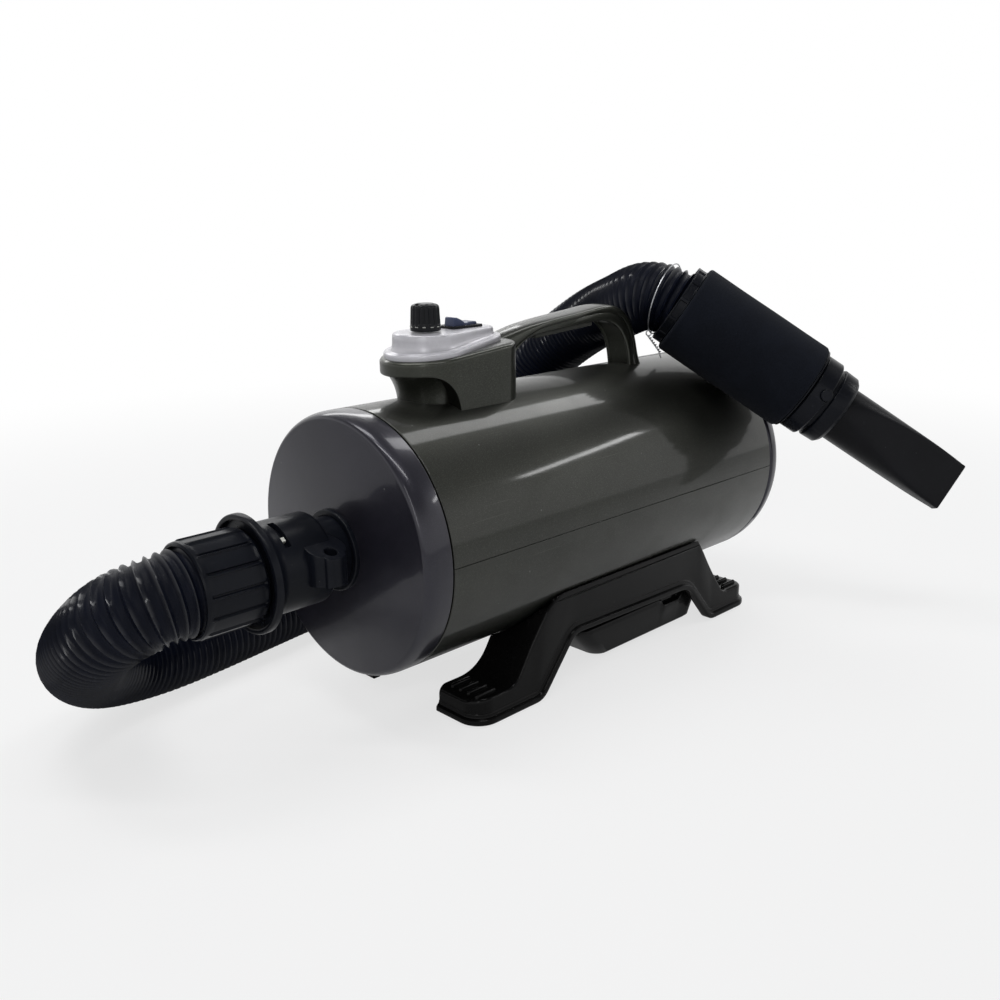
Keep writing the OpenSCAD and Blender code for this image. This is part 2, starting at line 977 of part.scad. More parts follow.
module outlet_collar() {
    color([0.1, 0.1, 0.11])
        on_axis()
            difference() {
                union() {
                    lathe_x([[collar_back, 0],
                        [collar_back, collar_r - 2],
                        [collar_back - 1, collar_r - 0.6],
                        [collar_back - 3, collar_r],
                        for (i = [0 : 6])
                            [collar_front + 16 - 11 * sin(i * 15),
                                collar_r + (collar_flange_r - collar_r)
                                    * (1 - cos(i * 15))],
                        [collar_front + 1, collar_flange_r],
                        [collar_front, collar_flange_r - 1],
                        [collar_front, 0]]);
                    // Ear for a hanging cord, with its web.
                    translate([ear_x, ear_y, ear_z - ear_t / 2])
                        rod_z(0, ear_t, ear_r);
                    translate([ear_x - ear_r, ear_y, ear_z - ear_t / 2])
                        cube([2 * ear_r, -ear_y - 20, ear_t]);
                    translate([ear_x - ear_r, -collar_r - 1, -18])
                        cube([ear_r * 1.6, 14, ear_z + 18]);
                }
                rod_x(collar_back - 12, collar_back + 1,
                    spigot_r + fit_gap);
                rod_x(collar_front - 1, collar_back - 11.9, socket_r);
                rod_x(collar_front - 1, collar_front + 4,
                    collar_flange_r - 4);
                translate([ear_x, ear_y, ear_z])
                    rod_z(-ear_t, ear_t, ear_hole_r);
                // Curved slot for the cuff's latch.
                intersection() {
                    tube_x(slot_x, slot_x + slot_w, collar_r + 9,
                        socket_r - 2);
                    rotate([90, 0, 90])
                        translate([0, 0, slot_x - 1])
                            linear_extrude(slot_w + 2)
                                polygon([[0, 0],
                                    [-60 * sin(slot_from),
                                        60 * cos(slot_from)],
                                    [-80 * sin((slot_from + slot_to) / 2),
                                        80 * cos((slot_from + slot_to)
                                            / 2)],
                                    [-60 * sin(slot_to),
                                        60 * cos(slot_to)]]);
                }
            }
}

module hose_cuff() {
    color([0.12, 0.12, 0.13])
        on_axis()
            difference() {
                union() {
                    rod_x(hose_start - 1, collar_back - 13, nose_r);
                    rod_x(cuff_end, grip_start, cuff_r);
                }
                rod_x(hose_start - 1, collar_back, socket_r - 5);
                rod_x(cuff_end - 1, hose_start, hose_socket);
                // Long flats: shallow grooves between raised staves.
                around_axis(cuff_flats, 7)
                    translate([cuff_end + 5, -1.2, cuff_r - 1.1])
                        cube([cuff_len - 9, 2.4, 3]);
                latch_block();
            }
}

module latch_block() {
    rotate([latch_at, 0, 0])
        translate([slot_x + 0.5, -1.8, nose_r - 2.5])
            cube([slot_w - 1, 3.6, 5.1]);
}

module cuff_latch() {
    color([0.75, 0.75, 0.72])
        on_axis()
            latch_block();
}

// Control points of the hose's centreline. Its two ends are set by the cuff
// and by the handset; the points between them are chosen by hand.
function handset_point(t) = handset_at + t * handset_dir;
hose_points = concat(
    [for (d = [-21, 0, 21, 41]) [body_x + hose_start - d, 0, axis_z]],
    [[-384, 2, 138], [-402, 15, 129], [-408, 37, 112], [-406, 66, 93],
        [-401, 95, 72], [-383, 118, 52], [-354, 138, 38], [-316, 146, 32],
        [-265, 153, 32], [-215, 162, 32], [-155, 172, 32], [-95, 180, 32],
        [-35, 183, 40], [25, 182, 69], [71, 178, 117], [104, 169, 169],
        [122, 151, 212], [128, 124, 239], [128, 92, 260], [124, 61, 276],
        [117, 30, 286], [109, 5, 296], [108, -13, 299]],
    [for (k = [-2 : 1]) handset_point(tube_shoulder + k * 30.5)]);

// Uniform cubic B-spline through the control points' neighbourhood.
function spline(p, i, f) = (pow(1 - f, 3) * p[i]
    + (3 * pow(f, 3) - 6 * f * f + 4) * p[i + 1]
    + (-3 * pow(f, 3) + 3 * f * f + 3 * f + 1) * p[i + 2]
    + pow(f, 3) * p[i + 3]) / 6;
spans = len(hose_points) - 3;
samples = [for (i = [0 : spans - 1], k = [0 : 11])
    spline(hose_points, i, k / 12), spline(hose_points, spans - 1, 1)];
runs = [for (i = 0, s = 0; i < len(samples); i = i + 1,
    s = i < len(samples) ? s + norm(samples[i] - samples[i - 1]) : s) s];
hose_len = runs[len(runs) - 1];

// Stations at equal steps along the hose, with their directions.
function station(s) = [for (k = [0 : 2])
    lookup(s, [for (i = [0 : len(runs) - 1]) [runs[i], samples[i][k]]])];
ring_steps = 2 * rib_count;
centres = [for (i = [0 : ring_steps]) station(hose_len * i / ring_steps)];
function unit(v) = v / norm(v);
headings = [for (i = [0 : ring_steps])
    unit(centres[min(i + 1, ring_steps)] - centres[max(i - 1, 0)])];
// Side vectors carried along the hose without twist.
sides = [for (i = 0, n = [0, 0, 1]; i <= ring_steps; i = i + 1,
    n = i <= ring_steps ? unit(n - (n * headings[i]) * headings[i]) : n) n];

function ring(i, r, facets) = [for (k = [0 : facets - 1])
    let (a = 360 * (k + 0.5) / facets)
        centres[i] + r * (cos(a) * sides[i]
            + sin(a) * cross(headings[i], sides[i]))];

// Triangles between one ring of points and the next.
function band(a, b, n) = [for (k = [0 : n - 1])
    each [[a + k, a + (k + 1) % n, b + (k + 1) % n],
        [a + k, b + (k + 1) % n, b + k]]];

module ribbed_hose(facets = 8, bore_step = 4) {
    bore_rings = [for (i = [0 : bore_step : ring_steps]) i];
    outer = [for (i = [0 : ring_steps])
        each ring(i, i % 2 == 0 || i < 3 || i > ring_steps - 3
            ? hose_r : hose_r - rib_depth, facets)];
    inner = [for (i = bore_rings) each ring(i, hose_bore, facets)];
    n0 = len(outer);
    m = len(bore_rings) - 1;
    last = facets * ring_steps;
    polyhedron(concat(outer, inner), concat(
        [for (i = [0 : ring_steps - 1])
            each band(i * facets, (i + 1) * facets, facets)],
        [for (j = [0 : m - 1])
            each band(n0 + (j + 1) * facets, n0 + j * facets, facets)],
        band(n0, 0, facets),
        band(last, n0 + m * facets, facets)), convexity = 8);
}

module hose() {
    echo(hose_length = hose_len);
    color([0.08, 0.08, 0.09])
        ribbed_hose();
}

// ---- Handset ----

module on_handset() {
    translate(handset_at)
        rotate([0, axis_tilt, handset_heading])
            children();
}

module lathe_z(points) {
    rotate_extrude()
        polygon([for (p = points) [p[1], p[0]]]);
}

module hose_end_ring() {
    color([0.14, 0.14, 0.15])
        on_handset()
            difference() {
                rod_z(ring_back, sleeve_back - 0.1, ring_r);
                rod_z(ring_back - 1, sleeve_back + 1, hose_r + ring_slack);
                // The bore flares where the bent hose comes in.
                translate([0, 0, ring_back - 0.01])
                    cylinder(r1 = hose_r + ring_slack + ring_flare,
                        r2 = hose_r + ring_slack, h = ring_len / 2);
                // Notches round the outside.
                for (i = [0 : 11])
                    rotate([0, 0, i * 30])
                        translate([ring_r - notch_depth, -notch_w / 2,
                            ring_back + (ring_len - notch_len) / 2])
                            cube([notch_depth + 1, notch_w, notch_len]);
            }
}

module handset_tube() {
    color([0.12, 0.12, 0.13])
        on_handset()
            difference() {
                union() {
                    rod_z(sleeve_back, sleeve_front + rim_t, tube_r);
                    rod_z(sleeve_front, sleeve_front + rim_t,
                        sleeve_r - 2);
                    // Spigot that the adapter turns on.
                    rod_z(sleeve_front, neck_end, neck_spigot_r);
                }
                rod_z(sleeve_back - 1, tube_shoulder, hose_socket + 2 * loose_gap);
                rod_z(tube_shoulder - 1, adapter_step, tube_bore);
            }
}

module foam_sleeve() {
    edge = 3;
    color([0.1, 0.1, 0.1])
        on_handset()
            difference() {
                lathe_z([[sleeve_back, 0], [sleeve_back, sleeve_r - edge],
                    for (i = [0 : 4])
                        [sleeve_back + edge * (1 - cos(i * 22.5)),
                            sleeve_r - edge * (1 - sin(i * 22.5))],
                    for (i = [4 : -1 : 0])
                        [sleeve_front - 0.1 - edge * (1 - cos(i * 22.5)),
                            sleeve_r - edge * (1 - sin(i * 22.5))],
                    [sleeve_front - 0.1, 0]]);
                rod_z(sleeve_back - 1, sleeve_front + 1,
                    tube_r + fit_gap);
            }
}

module adapter_ring() {
    color([0.1, 0.1, 0.12])
        on_handset()
            difference() {
                union() {
                    lathe_z([[adapter_back, 0],
                        [adapter_back, adapter_r - 1],
                        [adapter_back + 1, adapter_r],
                        [adapter_step - 3, adapter_r],
                        [adapter_step - 2, adapter_r - 1],
                        [adapter_step - 2, adapter_r - 5],
                        [adapter_step + 2, adapter_r - 5],
                        [adapter_step + 2, adapter_r - 3.5],
                        [adapter_step + 3, adapter_r - 2.5],
                        [adapter_front - 3, adapter_r - 3],
                        [adapter_front, adapter_r - 6],
                        [adapter_front, 0]]);
                }
                rod_z(adapter_back - 1, neck_end + 0.5,
                    neck_spigot_r + run_gap);
                rod_z(neck_end, adapter_step + 4, tube_bore - 2);
                rod_z(adapter_step + 3, adapter_front + 1,
                    nozzle_r + run_gap);
                // Pocket of the release button.
                rotate([0, 0, button_at])
                    translate([0, 0, button_t])
                        rotate([0, 90, 0])
                            rod_z(adapter_r - 6.5, adapter_r + 2,
                                button_r + run_gap);
            }
}

module nozzle_button() {
    color([0.16, 0.16, 0.18])
        on_handset()
            rotate([0, 0, button_at])
                translate([0, 0, button_t])
                    rotate([0, 90, 0])
                        rod_z(adapter_r - 3, adapter_r + 2, button_r);
}

module button_spring() {
    color("silver")
        on_handset()
            rotate([0, 0, button_at])
                translate([0, 0, button_t])
                    rotate([0, 90, 0])
                        tube_z(adapter_r - 6.4, adapter_r - 5.2, 3.5, 2.5);
}

// Hull of a round ring and the flat mouth, grown by grow.
module nozzle_body(grow) {
    back = adapter_front - 2;
    mouth = mouth_h / 2 + grow;
    hull() {
        rod_z(back, back + 8, nozzle_r + grow, $fn = 48);
        for (s = [-1, 1])
            translate([s * (mouth_w - mouth_h) / 2, 0, 0])
                rod_z(nozzle_front - 12, nozzle_front, mouth, $fn = 32);
    }
}

module flat_nozzle() {
    color([0.11, 0.11, 0.13])
        on_handset()
            rotate([0, 0, mouth_roll])
                difference() {
                    union() {
                        nozzle_body(0);
                        rod_z(adapter_front - nozzle_tail,
                            adapter_front + 6, nozzle_r);
                    }
                    translate([0, 0, 0.01])
                        nozzle_body(-nozzle_wall);
                    rod_z(adapter_front - nozzle_tail - 1,
                        adapter_front + 1, nozzle_r - nozzle_wall);
                }
}

// ---- Stand ----

// Side view of the stand, [x, z].
module stand_side() {
    sf = shoulder_front;
    sr = shoulder_rear;
    polygon([[-stand_half, 0], [-stand_half + 2, foot_h / 2],
        [-stand_half + 5, foot_h - 4], [-stand_half + 9, foot_h],
        [-leg_root, foot_h + 1], [-leg_root + 4, foot_h + 6],
        [-sf - 6, shoulder_z - 4], [-sf, shoulder_z + 1],
        [-sf + 9, shoulder_z + 3], [sr - 6, shoulder_z - 2],
        [sr, shoulder_z - 4], [sr + 5, shoulder_z - 8],
        [leg_root, foot_h + 4], [leg_root + 8, foot_h],
        [stand_half - 13, foot_h], [stand_half - 7, foot_h - 3],
        [stand_half - 3, foot_h / 2], [stand_half, 0],
        [stand_half - foot_rear, 0], [arch_rear + 8, arch_z - 6],
        [arch_rear, arch_z - 1], [-arch_front, arch_z + 1],
        [-arch_front - 8, arch_z - 3], [-stand_half + foot_front, 0]]);
}

module upright(y, t) {
    translate([0, y + t, 0])
        rotate([90, 0, 0])
            linear_extrude(t)
                children();
}

module foot_places() {
    for (x = [-hole_x, hole_x], y = [-hole_y, hole_y])
        translate([x, y, 0])
            children();
}

// Plan of the stand, with rounded corners.
module stand_plan(inset) {
    x = stand_half - inset;
    y = stand_w - inset;
    r = foot_round - inset;
    translate([-x, -y + r])
        square([2 * x, 2 * (y - r)]);
    translate([-x + r, -y])
        square([2 * (x - r), 2 * y]);
    for (sx = [-1, 1], sy = [-1, 1])
        translate([sx * (x - r), sy * (y - r)])
            circle(r = r);
}

// The space under the top skin, open below.
module under_skin() {
    translate([0, -foot_plate])
        stand_side();
}

module foot_rib(x0, x1) {
    translate([x0, 0, foot_h])
        rotate([90, 0, 90])
            linear_extrude(x1 - x0) {
                translate([0, foot_rib_h])
                    circle(r = foot_rib_r, $fn = 24);
                translate([-foot_rib_r, -1])
                    square([2 * foot_rib_r, foot_rib_h + 1]);
            }
}

module stand_half_shape() {
    difference() {
        intersection() {
            upright(foot_y, foot_in)
                stand_side();
            linear_extrude(big)
                stand_plan(0);
        }
        // Hollow of feet and legs.
        intersection() {
            upright(foot_y + plate_t, foot_in - 2 * plate_t)
                under_skin();
            translate([0, 0, -big / 2])
                linear_extrude(big)
                    stand_plan(plate_t);
        }
        // Above the feet the legs are open towards the middle.
        upright(foot_y - 1, plate_t + 1.5)
            intersection() {
                under_skin();
                union() {
                    translate([-leg_root + 12, foot_h])
                        square([2 * leg_root - 24, big]);
                    translate([-arch_front - 10, 0])
                        square([arch_front + arch_rear + 20, big]);
                }
            }
    }
    // Lip round the lower edge.
    intersection() {
        upright(foot_y, foot_in + lip_out)
            difference() {
                stand_side();
                translate([0, lip_h])
                    stand_side();
            }
        linear_extrude(big)
            difference() {
                stand_plan(-lip_out);
                stand_plan(0.5);
            }
    }
    // Rounded ribs along the feet, two on each side of the hole.
    for (k = [-2, -1, 1, 2])
        translate([0, hole_y + k * foot_rib_step, 0]) {
            foot_rib(-stand_half + 14, -leg_root - 2);
            foot_rib(leg_root + 9, stand_half - 13);
        }
}

module cradle_stand() {
    color([0.07, 0.07, 0.08])
        difference() {
            union() {
                translate([0, 0, rim_lift]) {
                    stand_half_shape();
                    mirror([0, 1, 0])
                        stand_half_shape();
                }
                // Saddle under the body.
                intersection() {
                    translate([0, 0, axis_z])
                        rod_x(saddle_front, saddle_rear,
                            body_r + saddle_gap + saddle_t);
                    translate([saddle_front - 1, -stand_w + 0.5,
                        arch_z - 30])
                        cube([saddle_rear - saddle_front + 2,
                            2 * stand_w - 1, shoulder_z - arch_z + 28]);
                }
            }
            translate([0, 0, axis_z])
                rod_x(-stand_half - 50, stand_half + 50,
                    body_r + saddle_gap);
            foot_places()
                rod_z(0, axis_z, hole_r);
            for (x = [-stand_screw_x, stand_screw_x])
                translate([x, 0, 0])
                    rod_z(0, axis_z, stand_screw_r);
        }
}

module under_pan() {
    color([0.09, 0.09, 0.1])
        difference() {
            pan_bowl(0);
            pan_bowl(pan_wall);
            translate([0, 0, axis_z])
                rod_x(-stand_half, stand_half, body_r + saddle_gap
                    + saddle_t + fit_gap);
        }
}

module pan_bowl(inset) {
    half_w = stand_w - plate_t - loose_gap;
    r = 12;
    hull() {
        for (x = [pan_front + r, pan_rear - r], s = [-1, 1])
            translate([x, s * (half_w - r), 0])
                rod_z(arch_z - 6, shoulder_z - 8, r - inset, $fn = 32);
        for (x = [pan_front + 46, pan_rear - 36], s = [-1, 1])
            translate([x, s * (half_w - 22), 0])
                rod_z(pan_low_z + inset, pan_low_z + inset + 2,
                    r - inset, $fn = 32);
    }
}

module saddle_liner() {
    color([0.12, 0.12, 0.12])
        intersection() {
            translate([0, 0, axis_z])
                tube_x(saddle_front + 2, saddle_rear - 2,
                    body_r + saddle_gap - liner_gap,
                    body_r + liner_gap);
            difference() {
                translate([saddle_front, -saddle_half(), arch_z - 30])
                    cube([saddle_rear - saddle_front,
                        2 * saddle_half(), 70]);
                for (x = [-stand_screw_x, stand_screw_x])
                    translate([x, 0, 0])
                        rod_z(0, axis_z, stand_screw_r + 2);
            }
        }
}

function saddle_half() = body_r * sin(saddle_angle) - 6;

module rubber_feet() {
    color([0.05, 0.05, 0.05])
        foot_places()
            tube_z(0, rim_lift + foot_h - foot_plate, pad_r, hole_r);
}

module stand_screws() {
    color("silver")
        for (x = [-stand_screw_x, stand_screw_x])
            translate([x, 0, body_lift])
                union() {
                    rod_z(-saddle_gap - saddle_t - 1, wall + 6,
                        stand_screw_r - fit_gap);
                    rod_z(-saddle_gap - saddle_t - 3,
                        -saddle_gap - saddle_t - 0.1, stand_head_r);
                }
}

// ---- Blower ----

// Motor with its frame towards -X; x = 0 where frame and fan case meet.
module motor_frame() {
    difference() {
        union() {
            rod_x(-motor_len, 0.5, motor_r);
            rod_x(0, fan_len, fan_r);
        }
        // Inside of the fan case, and its intake eye.
        rod_x(can_t, fan_len - fan_wall, fan_r - fan_wall);
        rod_x(fan_len - fan_wall - 1, fan_len + 1, eye_r);
        // Air passages round the motor, and the shaft's bearing.
        around_axis(6, 30)
            translate([0, 0, motor_r * 0.72])
                rod_x(-motor_len - 1, can_t + 1, 7);
        rod_x(-motor_len - 1, can_t + 1, rotor_r + run_gap);
    }
}

module impeller() {
    r = fan_r - 10;
    difference() {
        union() {
            rod_x(-motor_len + 4, fan_len - 12, rotor_r);
            rod_x(can_t + 5, can_t + 7, r);
            rod_x(can_t + 5, fan_len - 10, hub_r);
            around_axis(vane_count, 0)
                translate([can_t + 5.5, -1, hub_r - 1])
                    rotate([8, 0, 0])
                        cube([fan_len - can_t - 16, 1.6, r - hub_r - 2]);
        }
    }
}

module front_motor_frame() {
    color([0.55, 0.56, 0.58])
        on_axis()
            translate([front_motor, 0, 0])
                motor_frame();
}

module rear_motor_frame() {
    color([0.55, 0.56, 0.58])
        on_axis()
            translate([rear_motor, 0, 0])
                motor_frame();
}

module front_impeller() {
    color("gainsboro")
        on_axis()
            translate([front_motor, 0, 0])
                impeller();
}

module rear_impeller() {
    color("gainsboro")
        on_axis()
            translate([rear_motor, 0, 0])
                impeller();
}

module motor_mounts() {
    color([0.08, 0.08, 0.08])
        on_axis()
            difference() {
                for (x = [front_motor, rear_motor])
                    tube_x(x + mount_at, x + mount_at + mount_t,
                        shell_r - fit_gap, fan_r + fit_gap);
                screw_room();
            }
}

module sound_liner() {
    color([0.2, 0.2, 0.2])
        on_axis()
            difference() {
                tube_x(front_motor + mount_at + mount_t, rear_motor,
                    shell_r - fit_gap, shell_r - fit_gap - liner_t);
                screw_room();
            }
}

module motor_lead() {
    color([0.15, 0.15, 0.15])
        on_axis()
            translate([lead_x, 0, 0])
                rod_z(motor_r + 0.1, board_z - 0.1, lead_r);
}

upper_housing();
lower_housing();
front_cover();
rear_cover();
cover_screws();
filter_cover();
intake_filter();
control_pod();
control_panel();
speed_knob();
pot_shaft();
speed_pot();
rocker_switch();
rocker_key();
control_board();
carry_handle();
grip_insert();
handle_screws();
outlet_spigot();
outlet_collar();
hose_cuff();
cuff_latch();
hose();
hose_end_ring();
handset_tube();
foam_sleeve();
adapter_ring();
flat_nozzle();
nozzle_button();
button_spring();
cradle_stand();
under_pan();
saddle_liner();
rubber_feet();
stand_screws();
front_motor_frame();
rear_motor_frame();
front_impeller();
rear_impeller();
motor_mounts();
sound_liner();
motor_lead();
cord_gland();
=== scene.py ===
import json
import math
import bmesh
import bpy
import numpy as np
from mathutils import Matrix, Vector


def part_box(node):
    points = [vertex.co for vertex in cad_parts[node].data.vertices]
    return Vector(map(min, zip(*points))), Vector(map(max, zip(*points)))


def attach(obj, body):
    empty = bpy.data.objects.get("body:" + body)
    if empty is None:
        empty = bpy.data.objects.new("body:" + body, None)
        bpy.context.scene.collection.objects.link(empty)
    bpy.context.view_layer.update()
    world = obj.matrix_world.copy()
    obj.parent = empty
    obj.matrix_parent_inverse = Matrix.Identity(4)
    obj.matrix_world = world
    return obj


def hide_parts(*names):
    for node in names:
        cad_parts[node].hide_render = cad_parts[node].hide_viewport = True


# Looks of a cylinder pet dryer: lacquered barrel, console, handle, ribbed hose, handset and stand.
# Shapes are worked out in millimetres in a local frame and turned into metres when the mesh is made.

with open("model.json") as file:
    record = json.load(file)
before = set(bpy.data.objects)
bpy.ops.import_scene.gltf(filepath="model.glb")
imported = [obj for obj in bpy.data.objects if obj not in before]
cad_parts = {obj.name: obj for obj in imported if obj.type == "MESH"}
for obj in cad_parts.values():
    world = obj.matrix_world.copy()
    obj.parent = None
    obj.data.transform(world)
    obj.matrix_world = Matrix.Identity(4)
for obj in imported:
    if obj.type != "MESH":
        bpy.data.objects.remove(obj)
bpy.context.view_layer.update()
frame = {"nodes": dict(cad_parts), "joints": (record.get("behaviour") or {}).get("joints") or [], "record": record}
scene = bpy.context.scene
scene.view_settings.view_transform = "Standard"
mm = 0.001


def cornersOf(node):
    # lowest and highest corner of a CAD node, in mm
    low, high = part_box(node)
    return np.array(low) / mm, np.array(high) / mm


def unit(v):
    # vectors divided by their lengths
    v = np.asarray(v, float)
    return v / np.linalg.norm(v, axis=-1, keepdims=True)


housingLow, housingHigh = cornersOf("upper_housing")
capLow, capHigh = cornersOf("front_cover")
bodyRadius = round((capHigh[2] - capLow[2]) / 2, 1)
bodyCentre = np.array([(housingLow[0] + housingHigh[0]) / 2, 0, capLow[2] + bodyRadius])
halfLength = round((housingHigh[0] - housingLow[0]) / 2, 1)
joints = {joint["name"]: joint for joint in frame["joints"]}
handsetAt = np.array(joints["adapter_swivel"]["pos_m"]) / mm
handsetWay = unit(joints["adapter_swivel"]["axis"])
handsetSide = unit(np.cross([0, 0, 1], handsetWay))

# A local frame is an origin and the world directions of its x, y and z.
world = (np.zeros(3), np.eye(3))
upright = (bodyCentre, np.eye(3))
alongBarrel = (bodyCentre, np.array([[0, 0, 1], [0, -1, 0], [1, 0, 0]], float))
handset = (handsetAt, np.stack([np.cross(handsetSide, handsetWay), handsetSide, handsetWay]))

# place in mm, turns in radians, lens in mm, shifts as shares of the frame
view = {"place": (-645, -582.5, 377), "turn": 0.763, "dip": 0.306, "roll": -0.013,
        "lens": 36.4, "shift": (0.0118, 0.026)}


def makeCamera():
    # looks along +Y, turned towards +X and dipped, then rolled about its own line of sight
    camera = bpy.data.objects.new("camera", bpy.data.cameras.new("camera"))
    scene.collection.objects.link(camera)
    turn = Matrix.Rotation(-view["turn"], 4, "Z")
    dip = Matrix.Rotation(math.pi / 2 - view["dip"], 4, "X")
    roll = Matrix.Rotation(view["roll"], 4, "Z")
    place = Matrix.Translation([c * mm for c in view["place"]])
    camera.matrix_world = place @ turn @ dip @ roll
    camera.data.sensor_width = 36
    camera.data.lens = view["lens"]
    camera.data.shift_x, camera.data.shift_y = view["shift"]
    camera.data.clip_start, camera.data.clip_end = 0.01, 100
    scene.camera = camera


makeCamera()


def patch(points, loopU=False, loopV=False, capU=False, capV=False):
    # quads between the rows and columns of a grid of points, with fans over the ends that are asked for
    rows, cols = points.shape[:2]
    index = np.arange(rows * cols).reshape(rows, cols)
    if loopU:
        index = np.vstack([index, index[:1]])
    if loopV:
        index = np.hstack([index, index[:, :1]])
    quads = np.stack([index[:-1, :-1], index[1:, :-1], index[1:, 1:], index[:-1, 1:]], -1)
    verts, faces = points.reshape(-1, 3), quads.reshape(-1, 4).tolist()
    ends = ([index[0], index[-1]] if capU else []) + ([index[:, 0], index[:, -1]] if capV else [])
    for ring in ends:
        hub = np.full(len(ring) - 1, len(verts))
        verts = np.vstack([verts, verts[ring[:-1]].mean(0)])
        faces += np.stack([ring[:-1], ring[1:], hub], -1).tolist()
    return verts, faces


def placed(points, where):
    # from a local frame in mm to the world in metres
    origin, axes = where
    return (np.asarray(points, float) @ axes + origin) * mm


def markEdges(mesh):
    # convexity: how far a vertex stands above its neighbours, along its normal, as attribute "edge"
    count = len(mesh.vertices)
    co = np.empty(count * 3, np.float32)
    mesh.vertices.foreach_get("co", co)
    normal = np.empty(count * 3, np.float32)
    mesh.vertex_normals.foreach_get("vector", normal)
    pairs = np.empty(len(mesh.edges) * 2, np.int32)
    mesh.edges.foreach_get("vertices", pairs)
    co, normal, pairs = co.reshape(-1, 3), normal.reshape(-1, 3), pairs.reshape(-1, 2)
    along = unit(co[pairs[:, 0]] - co[pairs[:, 1]] + 1e-12)
    lift, degree = np.zeros(count), np.zeros(count)
    for end, sign in ((0, 1), (1, -1)):
        at = pairs[:, end]
        np.add.at(lift, at, sign * (along * normal[at]).sum(1))
        np.add.at(degree, at, 1)
    value = np.clip(lift / np.maximum(degree, 1), 0, 1).astype(np.float32)
    mesh.attributes.new("edge", "FLOAT", "POINT").data.foreach_set("value", value)


def shaded(mesh, crease):
    # smooth up to the crease angle
    mesh.shade_smooth()
    mesh.set_sharp_from_angle(angle=math.radians(crease))
    markEdges(mesh)


def settle(mesh, crease):
    # doubles merged, faces outward, smooth up to the crease angle
    work = bmesh.new()
    work.from_mesh(mesh)
    bmesh.ops.remove_doubles(work, verts=work.verts, dist=0.003 * mm)
    bmesh.ops.recalc_face_normals(work, faces=work.faces)
    work.to_mesh(mesh)
    work.free()
    shaded(mesh, crease)


def show(name, mesh, finish, body, replaced=()):
    # puts a finished mesh into the scene, on its body
    mesh.materials.append(finish)
    piece = bpy.data.objects.new(name, mesh)
    scene.collection.objects.link(piece)
    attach(piece, body)
    if replaced:
        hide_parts(*replaced)
    return piece


def makePiece(name, patches, where, finish, body="dryer", replaced=(), crease=32):
    # one mesh from several patches in a local frame
    verts, faces, count = [], [], 0
    for patchVerts, patchFaces in patches:
        verts.append(placed(patchVerts, where))
        faces += [[i + count for i in face] for face in patchFaces]
        count += len(patchVerts)
    mesh = bpy.data.meshes.new(name)
    mesh.from_pydata(np.vstack(verts).tolist(), [], faces)
    settle(mesh, crease)
    return show(name, mesh, finish, body, replaced)


def softened(points, radii, steps=4, closed=False):
    # a polyline with its corners rounded: a quadratic curve from radius before each corner to radius after it
    points = np.asarray(points, float)
    radii = np.broadcast_to(np.asarray(radii, float), len(points))
    before, after = np.roll(points, 1, 0), np.roll(points, -1, 0)
    if not closed:
        before[0], after[-1] = points[0], points[-1]
    toBefore, toAfter = before - points, after - points
    lengthBefore = np.linalg.norm(toBefore, axis=1) + 1e-9
    lengthAfter = np.linalg.norm(toAfter, axis=1) + 1e-9
    reach = np.minimum(radii, 0.49 * np.minimum(lengthBefore, lengthAfter))
    if not closed:
        reach[[0, -1]] = 0
    start = points + toBefore * (reach / lengthBefore)[:, None]
    end = points + toAfter * (reach / lengthAfter)[:, None]
    s = np.linspace(0, 1, steps + 1)[None, :, None]
    curve = (1 - s) ** 2 * start[:, None] + 2 * s * (1 - s) * points[:, None] + s ** 2 * end[:, None]
    if not closed:
        return np.vstack([points[:1], curve[1:-1].reshape(-1, points.shape[1]), points[-1:]])
    return curve.reshape(-1, points.shape[1])


def turned(profile, turns=128, swell=None, start=0.0, stop=360.0):
    # a profile of (along, radius) turned about the local z axis; swell(along, angle) is added to the radius
    along, radius = np.asarray(profile, float).T
    whole = stop - start >= 360
    angle = np.radians(np.linspace(start, stop, turns, endpoint=not whole))
    angle, along = np.meshgrid(angle, along, indexing="ij")
    r = np.broadcast_to(radius, angle.shape)
    if swell:
        r = r + swell(along, angle)
    return np.stack([r * np.cos(angle), r * np.sin(angle), along], -1)


def smooth(t):
    # 0 below 0 and 1 above 1, with a cubic between
    t = np.clip(t, 0, 1)
    return t * t * (3 - 2 * t)


def pulse(value, width, edge):
    # 1 within width of zero, falling smoothly to 0 over edge
    return 1 - smooth((np.abs(value) - width) / edge)


def wrapped(angle, count, offset=0.0):
    # angle to the nearest of count equal places round the axis
    step = 2 * math.pi / count
    return (angle - offset + step / 2) % step - step / 2


def extruded(outline, thickness, edge=0.5, steps=3):
    # a closed outline in the local x and z, carried along y, with its two rims rounded inward by edge
    outline = np.asarray(outline, float)
    centre = outline.mean(0)
    angle = np.linspace(0, math.pi / 2, steps + 1)
    inset = edge * (1 - np.sin(angle))
    depth = edge * (1 - np.cos(angle))
    inset = np.concatenate([inset, inset[::-1]])
    y = np.concatenate([-thickness / 2 + depth, thickness / 2 - depth[::-1]])
    tangent = unit(np.roll(outline, -1, 0) - np.roll(outline, 1, 0))
    normal = np.stack([tangent[:, 1], -tangent[:, 0]], -1)
    if (normal * (outline - centre)).sum() < 0:
        normal = -normal
    flat = outline[None] - normal[None] * inset[:, None, None]
    points = np.stack([flat[..., 0], np.broadcast_to(y[:, None], flat.shape[:2]), flat[..., 1]], -1)
    return patch(points, loopV=True, capU=True)


